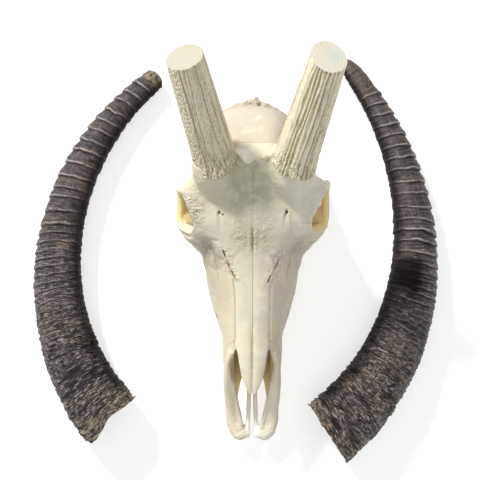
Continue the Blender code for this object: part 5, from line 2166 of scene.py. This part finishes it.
@dataclass(frozen=True)
class Studio:
    """The pale floor, the soft light and the camera at the photograph's viewing angle."""

    eye: Row = (5.1, -216.1, 1321.4)
    elevation: float = 80.0
    lens: float = 82.2
    sensor: float = 36.0
    clip: tuple[float, float] = (0.05, 30.0)
    floor_size: float = 8.0
    sky: Colour = (0.93, 0.96, 1.0)
    sky_strength: float = 0.44
    lights: tuple[AreaLight, ...] = (
        AreaLight("key", (-0.435, 0.655, 0.618), 6.0, side=0.62, power=420.0, colour=(1.0, 0.975, 0.93)),
        AreaLight("overhead", (0.1, -0.25, 1.0), 2.6, side=2.2, power=19.0, colour=(1.0, 0.99, 0.97)),
    )

    def camera(self) -> None:
        """Sets the camera, which looks down at the skull from a little in front of it."""
        tilt = math.radians(self.elevation)
        made = linked("camera", bpy.data.cameras.new("camera"))
        made.data.lens = self.lens
        made.data.sensor_width = self.sensor
        made.data.clip_start, made.data.clip_end = self.clip
        aimed(made, Vector(self.eye) * MM, Vector((0.0, -math.cos(tilt), math.sin(tilt))))
        bpy.context.scene.camera = made

    def build(self) -> None:
        """Builds the floor, the lights, the world and the camera."""
        half = self.floor_size / 2
        corners = [(-half, -half, 0), (half, -half, 0), (half, half, 0), (-half, half, 0)]
        mesh = bpy.data.meshes.new("floor")
        mesh.from_pydata(corners, [], [(0, 1, 2, 3)])
        mesh.materials.append(FloorFinish().material("floor"))
        floor = linked("floor", mesh)
        world = bpy.data.worlds.new("studio")
        bpy.context.scene.world = world
        world.use_nodes = True
        backdrop = world.node_tree.nodes["Background"]
        backdrop.inputs["Color"].default_value = (*self.sky, 1.0)
        backdrop.inputs["Strength"].default_value = self.sky_strength
        for light in self.lights:
            light.build()
        bpy.context.scene.view_settings.view_transform = "Standard"
        self.camera()


def cores() -> list[HornCore]:
    """The two cores, which were sawn at slightly different slants."""
    left = HornCore(
        side=Side.LEFT, base=(43.2, 293.0, 165.0), top=(78.2, 389.5, 260.0), base_halves=(23.9, 29.0),
        top_halves=(19.5, 22.9), cut_drop=13.0,
        finish=CoreFinish(rib=(0.78, 0.72, 0.56), groove=(0.32, 0.275, 0.14), blue=0.7), shaded=0.5,
    )
    right = HornCore(
        side=Side.RIGHT, base=(38.5, 293.0, 165.0), top=(71.0, 387.0, 257.5), base_halves=(23.6, 29.0),
        top_halves=(19.7, 22.4), cut_drop=6.8, groove_depth=0.9, grain=0.75,
        finish=CoreFinish(rib=(0.73, 0.67, 0.52), groove=(0.36, 0.31, 0.18), sawn=(0.475, 0.45, 0.375)),
        shaded=0.6, spot=(-0.45, 0.86),
    )
    return [left, right]


def sheaths() -> list[HornSheath]:
    """The two sheaths, one with a broken blunt tip and one with a longer smooth tip."""
    left = HornSheath(
        side=Side.LEFT, base=(87.5, 8.3), heading=38.3, turn=(109.35, -18.9), length=511.9,
        half_width=(39.6, -21.5, -14.8, 7.2), rise=(35.6, -24.0), lead=3.5, skew=-3.0, wave=-0.7,
        # painted shadow of the left horn core across this sheath
        dusk=0.9, ring_height=1.8, smooth_tip=36.0, tip_round=26.0,
    )
    right = HornSheath(
        side=Side.RIGHT, base=(-165.7, 25.7), heading=130.8, turn=(-103.2, 11.4), length=472.5,
        half_width=(38.3, -36.5, 34.5, -24.6), rise=(32.1, -17.9), lobe=8.0, smooth_tip=4.0,
        tip_round=9.0, tip_swell=1.4, finish=HornFinish(tip=(0.235, 0.175, 0.11)),
    )
    return [left, right]


def main() -> None:
    """Builds the skull, the sheaths and the studio in order."""
    logging.basicConfig(level=logging.INFO, format="%(name)s: %(message)s")
    Cranium().build()
    for core in cores():
        core.build()
    for side in Side:
        ToothRow(side).build()
    NasalBones().build()
    for sheath in sheaths():
        sheath.build()
    Studio().build()


if __name__ == "__main__":
    main()
